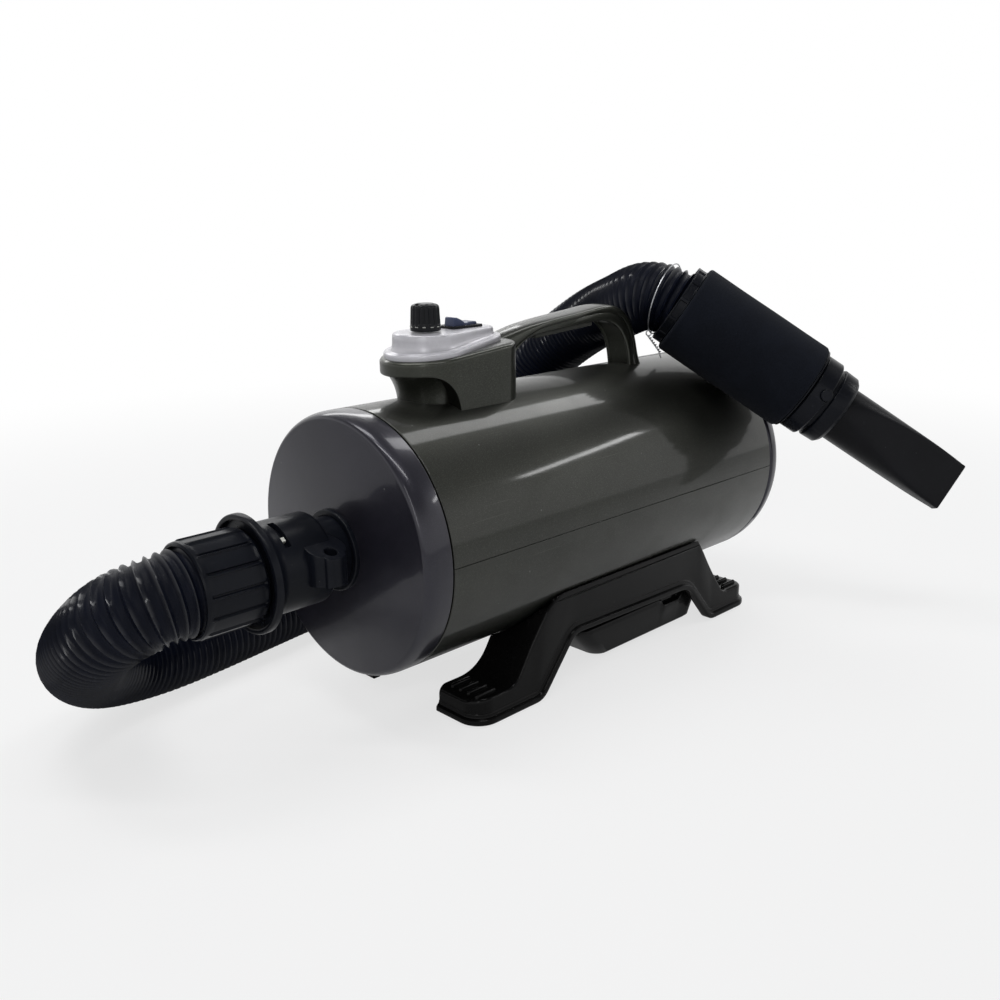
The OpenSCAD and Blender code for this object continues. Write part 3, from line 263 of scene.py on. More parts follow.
def refined(node, finish, body="dryer", bevel=0.35, crease=32, name=None):
    # the CAD node's own shape, its doubles merged and flat faces joined, with rounded edges
    mesh = frame["nodes"][node].data.copy()
    mesh.materials.clear()
    work = bmesh.new()
    work.from_mesh(mesh)
    bmesh.ops.remove_doubles(work, verts=work.verts, dist=0.004 * mm)
    bmesh.ops.dissolve_limit(work, angle_limit=math.radians(0.8), verts=work.verts, edges=work.edges)
    work.to_mesh(mesh)
    work.free()
    shaded(mesh, crease)
    piece = show(name or node + "_shape", mesh, finish, body, [node])
    if bevel:
        rounding = piece.modifiers.new("bevel", "BEVEL")
        rounding.width = bevel * mm
        rounding.segments = 2
        rounding.limit_method = "ANGLE"
        rounding.angle_limit = math.radians(crease)
    return piece


class Value:
    # a socket that varies over a surface; arithmetic on it adds Math nodes
    def __init__(self, graph, socket):
        self.graph, self.socket = graph, socket

    def __add__(self, other):
        return self.graph.math("ADD", self, other)

    def __sub__(self, other):
        return self.graph.math("SUBTRACT", self, other)

    def __rsub__(self, other):
        return self.graph.math("SUBTRACT", other, self)

    def __mul__(self, other):
        return self.graph.math("MULTIPLY", self, other)

    __radd__, __rmul__ = __add__, __mul__

    def clamped(self):
        # kept between 0 and 1
        return self.graph.math("MAXIMUM", self.graph.math("MINIMUM", self, 1.0), 0.0)

    def over(self, limit):
        # 1 above the limit, 0 below it
        return self.graph.math("GREATER_THAN", self, limit)

    def ramp(self, low, high):
        # 0 below low, 1 above high, smooth between
        return self.graph.add("ShaderNodeMapRange", {"interpolation_type": "SMOOTHSTEP"},
                              {"Value": self, "From Min": low, "From Max": high})


class Graph:
    # a node tree with its output node; nodes are added and fed here alone
    def __init__(self, tree, output):
        self.tree = tree
        tree.nodes.clear()
        self.output = tree.nodes.new(output)

    def add(self, kind, settings, inputs, output=0):
        # a node: its settings first, then the values or links of its sockets
        node = self.tree.nodes.new(kind)
        for key, value in settings.items():
            setattr(node, key, value)
        self.feed(node, inputs)
        return Value(self, node.outputs[output])

    def feed(self, node, inputs):
        # each socket takes a link or a number
        for key, value in inputs.items():
            if isinstance(value, Value):
                self.tree.links.new(value.socket, node.inputs[key])
            else:
                node.inputs[key].default_value = value

    def math(self, operation, *terms):
        # one Math node on its terms, in order
        return self.add("ShaderNodeMath", {"operation": operation}, dict(enumerate(terms)))


class Surface(Graph):
    # a material: its fixed numbers go straight onto the Principled shader
    def __init__(self, name, **fixed):
        self.material = bpy.data.materials.new(name)
        self.material.use_nodes = True
        super().__init__(self.material.node_tree, "ShaderNodeOutputMaterial")
        self.shader = self.tree.nodes.new("ShaderNodeBsdfPrincipled")
        self.tree.links.new(self.shader.outputs[0], self.output.inputs[0])
        self.paint(**fixed)
        self.place = self.add("ShaderNodeTexCoord", {}, {}, "Object")

    def paint(self, **sockets):
        # feeds the shader; an underscore stands for the space in a socket's name
        self.feed(self.shader, {key.replace("_", " "): value for key, value in sockets.items()})
        return self.material

    def stretch(self, scale, turn=(0, 0, 0)):
        # object coordinates scaled and turned
        return self.add("ShaderNodeMapping", {}, {"Vector": self.place, "Scale": scale, "Rotation": turn})

    def noise(self, scale, detail=3.0, rough=0.55, at=None, warp=0.0):
        # cloudy noise, about 0.5 on average
        links = {"Vector": at or self.place, "Scale": scale, "Detail": detail, "Roughness": rough,
                 "Distortion": warp}
        return self.add("ShaderNodeTexNoise", {}, links)

    def cells(self, scale, output, feature="F1"):
        # distance to, or random colour of, the nearest cell's centre
        links = {"Vector": self.place, "Scale": scale}
        return self.add("ShaderNodeTexVoronoi", {"feature": feature}, links, output)

    def specks(self, scale, size, share):
        # small round specks in a share of the cells
        chance = self.add("ShaderNodeSeparateColor", {}, {0: self.cells(scale, "Color")}, "Red")
        return (1.0 - self.cells(scale, "Distance").ramp(size * 0.6, size)) * chance.over(1 - share)

    def attribute(self, name):
        # the piece's own value at each vertex
        return self.add("ShaderNodeAttribute", {"attribute_name": name}, {}, "Fac")

    def mix(self, factor, a, b):
        # from colour a to colour b by factor; a Mix node takes its colours at 6 and 7 and gives one at 2
        a, b = (c if isinstance(c, Value) else (*c, 1.0) for c in (a, b))
        return self.add("ShaderNodeMix", {"data_type": "RGBA"}, {0: factor, 6: a, 7: b}, 2)

    def bump(self, height, strength, distance):
        # a normal tilted by the slope of height
        links = {"Height": height, "Strength": strength, "Distance": distance}
        return self.add("ShaderNodeBump", {}, links, "Normal")


def shade(colour, factor):
    # a colour made lighter or darker by a factor
    return tuple(min(1.0, c * factor) for c in colour)


def lacquer(name, colour, glint, rough=0.42, coat=0.5, dust=0.2, metallic=0.9):
    # metallic paint under a clear coat: clouding, fine flakes, hair scratches, specks of dust, rubbed edges
    g = Surface(name, Coat_Roughness=0.09, Specular_IOR_Level=0.3)
    cloud = g.noise(9.0, 3.0)
    flake = g.noise(2600.0, 1.0, 0.7)
    haze = g.noise(34.0, 5.0, 0.6, warp=0.6)
    scratch = g.noise(1.0, 2.0, 0.4, g.stretch((14, 900, 900), (0.05, 0.2, 0.3))).ramp(0.70, 0.76)
    cross = g.noise(1.0, 2.0, 0.4, g.stretch((700, 700, 12), (0.4, 0.1, 0.6))).ramp(0.72, 0.78)
    specks = g.specks(150.0, 0.14, 0.10 * dust)
    edge = g.attribute("edge").ramp(0.16, 0.5)
    worn = edge * g.noise(120.0, 4.0, 0.7).ramp(0.35, 0.7)
    body = g.mix(cloud.ramp(0.3, 0.7), shade(colour, 0.86), shade(colour, 1.12))
    body = g.mix(flake.ramp(0.52, 0.78) * 0.45, body, glint)
    body = g.mix((scratch + cross).clamped() * 0.10, body, shade(glint, 1.2))
    body = g.mix(specks * 0.4, body, (0.20, 0.20, 0.19))
    body = g.mix(worn * 0.35, body, shade(glint, 1.4))
    roughness = rough + (haze - 0.5) * 0.12 + specks * 0.25 + worn * 0.1 + scratch * 0.06
    height = flake * 0.25 + scratch * -0.4 + specks * 1.2 + haze * 0.3
    return g.paint(Base_Color=body, Roughness=roughness.clamped(), Metallic=metallic - specks * 0.7,
                   Coat_Weight=(coat - haze.ramp(0.45, 0.8) * (0.24 * coat) - specks * 0.3).clamped(),
                   Normal=g.bump(height, 0.12, 0.00012))


def plastic(name, colour, rough=0.34, grain=0.7, wear=0.4, dust=0.25, specular=0.15,
            lift=(0.035, 0.037, 0.044), grainSize=1500.0):
    # moulded plastic: fine texture from the tool, faint flow clouding, scuffs, dust, paler rubbed edges
    g = Surface(name, Specular_IOR_Level=specular)
    cloud = g.noise(16.0, 4.0)
    leather = g.noise(grainSize, 2.0, 0.6)
    scuff = g.noise(1.0, 3.0, 0.5, g.stretch((60, 500, 240), (0.3, 0.5, 0.8))).ramp(0.62, 0.74)
    smear = g.noise(46.0, 5.0, 0.65, warp=0.8)
    specks = g.specks(260.0, 0.13, 0.10 * dust)
    edge = g.attribute("edge").ramp(0.14, 0.5) * g.noise(150.0, 4.0, 0.7).ramp(0.3, 0.7)
    body = g.mix(cloud.ramp(0.3, 0.72), shade(colour, 0.8), shade(colour, 1.25))
    body = g.mix(scuff * 0.20 * wear, body, lift)
    body = g.mix(specks * 0.35, body, (0.12, 0.12, 0.12))
    body = g.mix(edge * 0.45 * wear, body, lift)
    roughness = rough + (smear - 0.5) * 0.16 + scuff * 0.08 * wear + specks * 0.2 - edge * 0.06
    height = leather * grain + scuff * -0.3 + specks * 1.5 + smear * 0.4
    return g.paint(Base_Color=body, Roughness=roughness.clamped(), Normal=g.bump(height, 0.18, 0.00016))


def satinSilver():
    # silver paint with a lilac cast: fine flakes, soft clouding, rubbed rims
    colour, glint = (0.52, 0.51, 0.54), (0.70, 0.72, 0.78)
    g = Surface("satin_silver", Coat_Roughness=0.12, Specular_IOR_Level=0.5)
    flake = g.noise(3000.0, 1.0, 0.7)
    cloud = g.noise(40.0, 3.0)
    smear = g.noise(70.0, 5.0, 0.6, warp=0.7)
    specks = g.specks(300.0, 0.12, 0.03)
    edge = g.attribute("edge").ramp(0.16, 0.5) * g.noise(200.0, 4.0, 0.7).ramp(0.3, 0.7)
    body = g.mix(cloud.ramp(0.3, 0.7), shade(colour, 0.93), shade(colour, 1.06))
    body = g.mix(flake.ramp(0.5, 0.75) * 0.5, body, glint)
    body = g.mix(specks * 0.6, body, (0.08, 0.08, 0.08))
    body = g.mix(edge * 0.4, body, (0.72, 0.72, 0.74))
    roughness = 0.33 + (smear - 0.5) * 0.1 + specks * 0.2
    return g.paint(Base_Color=body, Roughness=roughness.clamped(), Metallic=0.35 - specks * 0.3,
                   Coat_Weight=0.25 - smear.ramp(0.5, 0.8) * 0.08,
                   Normal=g.bump(flake * 0.3 + smear * 0.3 + specks, 0.12, 0.0001))


def foam(name, colour, cell=1300.0, lint=1.0, strength=0.55):
    # closed-cell foam: open pinholes kept dark as painted shade, with the raised cell walls between them painted
    # paler; soft lint fibres and pressed patches
    g = Surface(name, Specular_IOR_Level=0.06, Sheen_Weight=0.02, Sheen_Roughness=0.6)
    poresAndPitShade = g.cells(cell, "Distance")
    weave = g.noise(cell * 0.6, 3.0, 0.7)
    patchy = g.noise(22.0, 4.0, 0.6, warp=0.5)
    fibre = g.noise(1.0, 3.0, 0.5, g.stretch((900, 110, 300), (0.6, 0.2, 0.9))).ramp(0.71, 0.76)
    body = g.mix(patchy.ramp(0.3, 0.7), shade(colour, 0.7), shade(colour, 1.35))
    # painted shade: the pits of the pores keep the darker colour while the raised cell walls are painted paler
    body = g.mix(poresAndPitShade.ramp(0.2, 0.6) * 0.4, body, shade(colour, 1.8))
    body = g.mix(fibre * 0.16 * lint, body, (0.05, 0.058, 0.075))
    return g.paint(Base_Color=body, Roughness=(0.86 + (patchy - 0.5) * 0.2).clamped(),
                   Normal=g.bump(poresAndPitShade * 0.7 + weave * 0.5 + fibre * 0.8, strength, 0.00025))


def hoseSkin():
    # flexible ribbed plastic: glossy crests, dust and scuffs in the valleys, by the hose's rib attribute
    g = Surface("ribbed_hose", Specular_IOR_Level=0.10, Coat_Roughness=0.10)
    crest = g.attribute("rib")
    cloud = g.noise(30.0, 4.0)
    grit = g.noise(420.0, 4.0, 0.7)
    scuff = g.noise(1.0, 3.0, 0.5, g.stretch((320, 320, 60), (0.4, 0.8, 0.1))).ramp(0.6, 0.72)
    specks = g.specks(330.0, 0.15, 0.06)
    body = g.mix(cloud.ramp(0.3, 0.7), (0.0026, 0.0036, 0.0085), (0.0044, 0.0060, 0.0135))
    body = g.mix((1.0 - crest) * grit.ramp(0.45, 0.8) * 0.25, body, (0.012, 0.012, 0.015))
    body = g.mix(crest * scuff * 0.30, body, (0.030, 0.033, 0.042))
    body = g.mix(specks * 0.4, body, (0.1, 0.1, 0.1))
    roughness = 0.48 - crest * 0.2 + (grit - 0.5) * 0.10 + specks * 0.2
    return g.paint(Base_Color=body, Roughness=roughness.clamped(), Coat_Weight=crest * crest * 0.55,
                   Normal=g.bump(grit * 0.5 + scuff * 0.3 + specks, 0.2, 0.00015))


def metal(name, colour, rough=0.32, lines=(1, 60, 1), grain=900.0):
    # bare metal: drawing lines, fine grain, dull patches
    g = Surface(name, Specular_IOR_Level=0.5)
    brushed = g.noise(1.0, 3.0, 0.6, g.stretch(tuple(40.0 * s for s in lines)))
    fine = g.noise(grain, 2.0)
    dull = g.noise(60.0, 4.0, 0.6).ramp(0.45, 0.75)
    body = g.mix(brushed.ramp(0.3, 0.7), shade(colour, 0.85), shade(colour, 1.08))
    body = g.mix(dull * 0.4, body, shade(colour, 0.6))
    roughness = rough + (fine - 0.5) * 0.15 + dull * 0.15
    return g.paint(Base_Color=body, Roughness=roughness.clamped(), Metallic=0.95 - dull * 0.1,
                   Normal=g.bump(brushed * 0.6 + fine * 0.3, 0.15, 0.0001))


def boardGreen():
    # lacquered circuit board: tracks, solder spots
    g = Surface("circuit_board", Specular_IOR_Level=0.5)
    tracks = g.cells(190.0, "Distance", "DISTANCE_TO_EDGE")
    solder = g.specks(420.0, 0.3, 0.3)
    track = 1.0 - tracks.ramp(0.04, 0.07)
    body = g.mix(g.noise(60.0, 3.0), (0.010, 0.075, 0.032), (0.016, 0.11, 0.045))
    body = g.mix(track * 0.6, body, (0.04, 0.19, 0.07))
    body = g.mix(solder, body, (0.55, 0.55, 0.53))
    return g.paint(Base_Color=body, Roughness=0.32 + g.noise(300.0, 3.0) * 0.15, Metallic=solder * 0.8,
                   Normal=g.bump(track * 0.5 + solder, 0.3, 0.0001))


finish = {
    "shell": lacquer("charcoal_lacquer", (0.034, 0.035, 0.030), (0.150, 0.157, 0.136), rough=0.46),
    "cover": lacquer("cap_lacquer", (0.022, 0.021, 0.030), (0.054, 0.052, 0.076), rough=0.3, coat=0.45,
                     dust=0.1, metallic=0.38),
    "console": lacquer("console_lacquer", (0.036, 0.038, 0.031), (0.170, 0.176, 0.150), rough=0.38, coat=0.4,
                       dust=0.1),
    "panel": satinSilver(),
    "grip": plastic("grip_insert", (0.050, 0.052, 0.046), rough=0.5, grain=2.0, grainSize=700.0,
                    lift=(0.12, 0.12, 0.11)),
    "knob": plastic("knob_black", (0.0040, 0.0048, 0.0070), rough=0.24, specular=0.2, grain=0.4),
    "switch": plastic("switch_black", (0.0045, 0.0045, 0.0060), rough=0.3),
    "key": plastic("key_blue_grey", (0.042, 0.055, 0.115), rough=0.3, specular=0.3, grain=0.4,
                   lift=(0.10, 0.12, 0.2)),
    "fitting": plastic("fitting_black", (0.0050, 0.0060, 0.0095), rough=0.30, specular=0.13),
    "latch": plastic("latch_pale", (0.55, 0.55, 0.50), rough=0.35, specular=0.4, lift=(0.7, 0.7, 0.66)),
    "hose": hoseSkin(),
    "foam": foam("sleeve_foam", (0.0056, 0.0068, 0.0105)),
    "nozzle": plastic("nozzle_black", (0.0050, 0.0052, 0.0068), rough=0.34, specular=0.12, wear=0.6),
    "stand": plastic("stand_black", (0.0046, 0.0045, 0.0046), rough=0.17, specular=0.13, grain=0.3, wear=0.3,
                     dust=0.1),
    "rubber": plastic("rubber_black", (0.007, 0.007, 0.007), rough=0.7, specular=0.12, grain=1.6),
    "filter": foam("filter_foam", (0.010, 0.010, 0.010), cell=520.0, lint=1.6, strength=0.9),
    "liner": foam("felt_liner", (0.05, 0.05, 0.05), cell=700.0, lint=2.0),
    "steel": metal("zinc_steel", (0.52, 0.53, 0.55)),
    "motor": metal("cast_aluminium", (0.50, 0.51, 0.53), rough=0.42, lines=(8, 8, 8)),
    "board": boardGreen(),
}
print("materials made:", len(finish))

# Every CAD node takes its finish from the record's slot; the pieces below then replace the ones that show.
for part in frame["record"]["subparts"]:
    node = frame["nodes"][part["node"]]
    node.data.materials.clear()
    node.data.materials.append(finish[part["material_slot"]])

hose = {
    "radius": 30.5, "ribDepth": 3.0, "wall": 2.2, "crest": 3.2, "perRib": 9, "round": 36, "perSpan": 24,
    # distances along the hose, and the ribs' pitch at each
    "pitch": ((0, 300, 800, 1000, 1090), (6.1, 6.1, 5.7, 5.1, 5.1)),
    # control points of the centreline, in metres; its two ends run along the cuff and along the handset
    "route": [(-0.384, 0.002, 0.138), (-0.402, 0.015, 0.129), (-0.408, 0.037, 0.112), (-0.406, 0.066, 0.093),
              (-0.401, 0.095, 0.072), (-0.383, 0.118, 0.052), (-0.354, 0.138, 0.038), (-0.316, 0.146, 0.032),
              (-0.265, 0.153, 0.032), (-0.215, 0.162, 0.032), (-0.155, 0.172, 0.032), (-0.095, 0.180, 0.032),
              (-0.035, 0.183, 0.040), (0.025, 0.182, 0.069), (0.071, 0.178, 0.117), (0.104, 0.169, 0.169),
              (0.122, 0.151, 0.212), (0.128, 0.124, 0.239), (0.128, 0.092, 0.260), (0.124, 0.061, 0.276),
              (0.117, 0.030, 0.286), (0.109, 0.005, 0.296), (0.108, -0.013, 0.299)],
    "cuffRun": [(-0.303, 0, 0.140), (-0.324, 0, 0.140), (-0.345, 0, 0.140), (-0.365, 0, 0.140)],
    "handsetRun": (-80, -49.5, -19, 11.5),
}


def hoseLine():
    # uniform cubic B-spline near the control points, in mm, with its points at equal shares of a rib
    tail = handsetAt + np.outer(hose["handsetRun"], handsetWay)
    control = np.vstack([np.array(hose["cuffRun"] + hose["route"]) / mm, tail])
    f = np.linspace(0, 1, hose["perSpan"], endpoint=False)[:, None]
    weights = np.hstack([(1 - f) ** 3, 3 * f ** 3 - 6 * f ** 2 + 4,
                         -3 * f ** 3 + 3 * f ** 2 + 3 * f + 1, f ** 3]) / 6
    spans = np.stack([control[i:len(control) - 3 + i] for i in range(4)], 1)
    line = np.einsum("fk,skc->sfc", weights, spans).reshape(-1, 3)
    line = np.vstack([line, (control[-3] + 4 * control[-2] + control[-1]) / 6])
    run = np.concatenate([[0], np.cumsum(np.linalg.norm(np.diff(line, axis=0), axis=1))])
    ribs = np.concatenate([[0], np.cumsum(np.diff(run) / np.interp(run[1:], *hose["pitch"]))])
    rings = round(ribs[-1]) * hose["perRib"] + 1
    steps = np.interp(np.linspace(0, ribs[-1], rings), ribs, run)
    return np.stack([np.interp(steps, run, line[:, k]) for k in range(3)], -1), run[-1]


def carried(line):
    # side vectors carried along a line without twist: each the last one less its part along the line
    way = unit(np.gradient(line, axis=0))
    side = np.zeros_like(way)
    side[0] = unit(np.cross([0, 1, 0], way[0]))
    for i in range(1, len(way)):
        side[i] = unit(side[i - 1] - (side[i - 1] @ way[i]) * way[i])
    return side, np.cross(way, side)


def makeHose():
    # a circle carried along the route; its radius rises to a narrow crest, a power of a cosine, once per rib
    line, length = hoseLine()
    side, across = carried(line)
    phase = np.arange(len(line)) / hose["perRib"]
    crest = (0.5 + 0.5 * np.cos(2 * math.pi * phase)) ** hose["crest"]
    angle = np.linspace(0, 2 * math.pi, hose["round"], endpoint=False)
    circle = np.cos(angle)[:, None] * side[:, None] + np.sin(angle)[:, None] * across[:, None]
    outer = line[:, None] + circle * (hose["radius"] - hose["ribDepth"] * (1 - crest))[:, None, None]
    bore = hose["radius"] - hose["ribDepth"] - hose["wall"]
    inner = (line[:, None] + circle * bore)[::-hose["perRib"]]
    piece = makePiece("ribbed_hose", [patch(np.concatenate([outer, inner]), loopU=True, loopV=True)], world,
                      finish["hose"], replaced=["hose"], crease=60)
    # attribute "rib": 1 on the crests, 0 in the valleys and in the bore
    values = np.zeros(len(piece.data.vertices), np.float32)
    values[:crest.size * hose["round"]] = np.repeat(crest, hose["round"])
    piece.data.attributes.new("rib", "FLOAT", "POINT").data.foreach_set("value", values)
    print("hose made, length", round(length), "mm")


makeHose()

# the barrel's halves meet at a fine seam along each side, a little above its middle
barrel = {"wall": 3, "grooveWidth": 1.2, "lip": 0.9, "endEdge": 0.2, "seamZ": 2, "seamGap": 0.13,
          "edgeRound": 0.45, "columns": 150, "seamSteps": (0, 0.12, 0.25, 0.45, 0.7, 1.2)}


def halfShell(upper):
    # a rectangle (along, radius) turned between the two seams, lowered by a quarter circle beside each seam
    inside = bodyRadius - barrel["wall"]
    profile = softened([(-halfLength, inside), (-halfLength, bodyRadius), (halfLength, bodyRadius),
                        (halfLength, inside)],
                       [barrel["endEdge"], barrel["lip"], barrel["lip"], barrel["endEdge"]], 4, closed=True)
    seam = math.degrees(math.acos(barrel["seamZ"] / bodyRadius))
    half = (seam if upper else 180 - seam) - math.degrees(barrel["seamGap"] / bodyRadius)
    near = half - np.degrees(np.array(barrel["seamSteps"]) / bodyRadius)
    angles = np.concatenate([-near, np.linspace(-near[-1], near[-1], barrel["columns"])[1:-1], near[::-1]])
    angle = np.radians(angles + (0 if upper else 180))[:, None]
    toSeam = np.radians(half - np.abs(angles)) * bodyRadius
    rest = 1 - np.clip(toSeam / barrel["edgeRound"], 0, 1)
    drop = barrel["edgeRound"] * (1 - np.sqrt(1 - rest ** 2))
    along, radius = profile.T
    r = radius - drop[:, None] * (radius > bodyRadius - barrel["wall"] / 2)
    points = np.stack([r * np.cos(angle), r * np.sin(angle), np.broadcast_to(along, r.shape)], -1)
    return patch(points, loopV=True, capU=True)


for side in ("upper", "lower"):
    makePiece("barrel_" + side, [halfShell(side == "upper")], alongBarrel, finish["shell"],
              replaced=[side + "_housing"])
print("barrel made")

cap = {"length": 22.4, "roundLength": 14.6, "roundDrop": 6.1, "domeRise": 5, "power": 0.8, "bore": 26.3,
       "wall": 3, "seat": 5, "inside": 12}
capStart = -halfLength - barrel["grooveWidth"]
frontX = capStart - cap["length"]


def frontCapProfile():
    # straight side, a superellipse quarter, a shallow parabolic dome, then back along the inside
    turn = np.radians(np.linspace(0, 90, 22))
    faceRadius = bodyRadius - cap["roundDrop"]
    edge = np.stack([frontX + cap["roundLength"] * (1 - np.sin(turn) ** cap["power"]),
                     faceRadius + cap["roundDrop"] * np.cos(turn) ** cap["power"]], -1)
    r = np.linspace(faceRadius - 2, cap["bore"], 24)
    dome = np.stack([frontX - cap["domeRise"] * (1 - (r / faceRadius) ** 2), r], -1)
    seat = bodyRadius - cap["seat"]
    start = softened([(capStart, seat), (capStart, bodyRadius), (edge[0, 0], bodyRadius)],
                     [0, barrel["lip"], 0], 4)
    inner = [(frontX - 0.5, cap["bore"]), (frontX + cap["wall"], bodyRadius - cap["inside"]),
             (capStart, seat)]
    return np.vstack([start[:-1], edge, dome, inner])


makePiece("front_cap", [patch(turned(frontCapProfile(), 192), loopU=True, loopV=True)], alongBarrel,
          finish["cover"], replaced=["front_cover"])
refined("rear_cover", finish["cover"], bevel=0, name="rear_cap")
refined("filter_cover", finish["fitting"], "filter", 0.4, name="intake_grille")
print("caps made")

# the outlet: places along the barrel's axis, and radii
cuff = {"start": -302, "end": -348, "radius": 34, "bore": 30.9, "staves": 14, "turn": 7, "groove": 1.2,
        "ridge": 0.9, "tongueEnd": -262, "tongue": 29.3, "tongueBore": 24.5, "step": -307}
collar = {"back": -249, "front": -303, "radius": 33.4, "flange": 42.5, "socket": 29.5, "slotX": -284,
          "slotWidth": 4, "slotFrom": 8, "slotTo": 50, "slotDepth": 4.7}
# the lug's plan is measured from its hole's axis
lug = {"at": (-257.5, -39), "top": 15, "base": -8, "slope": 0.33, "hole": 4.5, "columns": 144,
       "plan": [(9, 20), (9, -5), (7.5, -7.4), (-8, -8.6), (-9, 20)], "rounding": [0, 2, 2, 5, 0]}
boss = {"back": -224, "front": -231, "bore": 26.2, "radius": 30.5}


def cuffSwell(along, angle):
    # slightly flat staves between raised ridges, each with a groove beside it
    near = wrapped(angle, cuff["staves"], math.radians(cuff["turn"] + 180 / cuff["staves"]))
    edge = wrapped(angle, cuff["staves"], math.radians(cuff["turn"])) * cuff["radius"]
    flat = cuff["radius"] * (np.cos(math.pi / cuff["staves"]) / np.cos(near) - 1) * 0.6
    inside = smooth((along - cuff["end"] - 3.5) / 1.2) * smooth((cuff["start"] - 3 - along) / 1.2)
    ridge = pulse(edge - 1.0, 0.4, 0.35) * cuff["ridge"]
    groove = pulse(edge + 0.7, 0.6, 0.4) * -cuff["groove"]
    return (flat + ridge + groove) * inside


def collarSwell(along, angle):
    # the latch's slot: a sunk rectangle with smooth edges, round the axis and along it
    middle = math.radians((collar["slotFrom"] + collar["slotTo"]) / 2)
    half = math.radians(collar["slotTo"] - collar["slotFrom"]) / 2 * collar["radius"]
    across = wrapped(angle, 1, middle) * collar["radius"]
    near = along - collar["slotX"] - collar["slotWidth"] / 2
    return -collar["slotDepth"] * pulse(across, half, 0.35) * pulse(near, collar["slotWidth"] / 2, 0.35)


def lugBlock():
    # a block with a slanting top and an upright hole: rings of points round the hole's axis, first over
    # the top from the hole to the outline, then down the wall and back under it to the hole
    outline = softened(lug["plan"], lug["rounding"], 8, closed=True)
    angle = np.linspace(0, 2 * math.pi, lug["columns"], endpoint=False)
    outlineAngle = np.arctan2(outline[:, 1], outline[:, 0]) % (2 * math.pi)
    order = np.argsort(outlineAngle)
    reach = np.interp(angle, outlineAngle[order], np.hypot(*outline[order].T), period=2 * math.pi)
    way = np.stack([np.cos(angle), np.sin(angle)], -1)
    bore = np.full(lug["columns"], lug["hole"])
    rows = []
    for radius, drop in ((bore, 0.4), (bore + 0.4, 0), (reach - 1.1, 0), (reach - 0.35, 0.3), (reach, 1.1)):
        across = way * radius[:, None]
        rows.append(np.column_stack([across + lug["at"], lug["top"] + lug["slope"] * across[:, 1] - drop]))
    for radius in (reach, reach - 1, bore):
        rows.append(np.column_stack([way * radius[:, None] + lug["at"], np.full(len(way), lug["base"])]))
    return patch(np.array(rows), loopU=True, loopV=True)


def makeCollar():
    # turned sleeve that sweeps out into a flange; the inside steps down to the spigot's bore
    sweep = np.radians(np.linspace(0, 90, 12))
    flange = np.stack([collar["front"] + 16 - 11 * np.sin(sweep),
                       collar["radius"] + (collar["flange"] - collar["radius"]) * (1 - np.cos(sweep))], -1)
    sleeveX = np.linspace(collar["back"] - 3, collar["front"] + 16.5, 90)
    f, r = collar["front"], collar["flange"]
    profile = np.vstack([[(collar["back"], collar["socket"] - 0.4), (collar["back"], collar["radius"] - 1.6),
                          (collar["back"] - 0.6, collar["radius"] - 0.7),
                          (collar["back"] - 1.6, collar["radius"] - 0.15)],
                         np.column_stack([sleeveX, np.full(90, collar["radius"])]), flange,
                         [(f + 2.2, r + 0.02), (f + 1.0, r - 0.1), (f + 0.3, r - 0.5), (f, r - 1.2),
                          (f, r - 3.2), (f + 0.4, r - 3.9), (f + 4, r - 4), (f + 4, collar["socket"] + 0.6),
                          (f + 5, collar["socket"])]])
    sleeve = patch(turned(profile, 560, collarSwell), loopU=True, loopV=True)
    verts, faces = lugBlock()
    makePiece("outlet_collar_flanged", [sleeve, (verts @ alongBarrel[1].T, faces)], alongBarrel,
              finish["fitting"], replaced=["outlet_collar"])


def makeOutlet():
    # a rounded rectangle turned for the boss, and for the cuff a grip with a thinner tongue inside the collar
    refined("outlet_spigot", finish["fitting"], bevel=0.3)
    ring = softened([(boss["back"], boss["bore"]), (boss["front"], boss["bore"]),
                     (boss["front"], boss["radius"]), (boss["back"], boss["radius"])],
                    [0, 0.4, 1.2, 0], 4, closed=True)
    makePiece("spigot_boss", [patch(turned(ring, 128), loopU=True, loopV=True)], alongBarrel,
              finish["fitting"])
    makeCollar()
    refined("cuff_latch", finish["latch"], "cuff", 0.2)
    start, end, r = cuff["start"], cuff["end"], cuff["radius"]
    tip, tongue = cuff["tongueEnd"], cuff["tongue"]
    profile = np.vstack([
        [(end, cuff["bore"]), (end, r - 1.6), (end + 1.2, r - 0.6)],
        np.column_stack([np.linspace(end + 3.4, start - 2.6, 26), np.full(26, r - 0.3)]),
        [(start - 1.2, r - 0.8), (start - 0.4, r - 2), (start, tongue), (tip - 0.5, tongue),
         (tip, tongue - 0.5), (tip, cuff["tongueBore"]), (cuff["step"], cuff["tongueBore"]),
         (cuff["step"] - 1, cuff["bore"])]])
    makePiece("hose_cuff_grip", [patch(turned(profile, 560, cuffSwell), loopU=True, loopV=True)], alongBarrel,
              finish["fitting"], "cuff", ["hose_cuff"])
    print("outlet made")


makeOutlet()

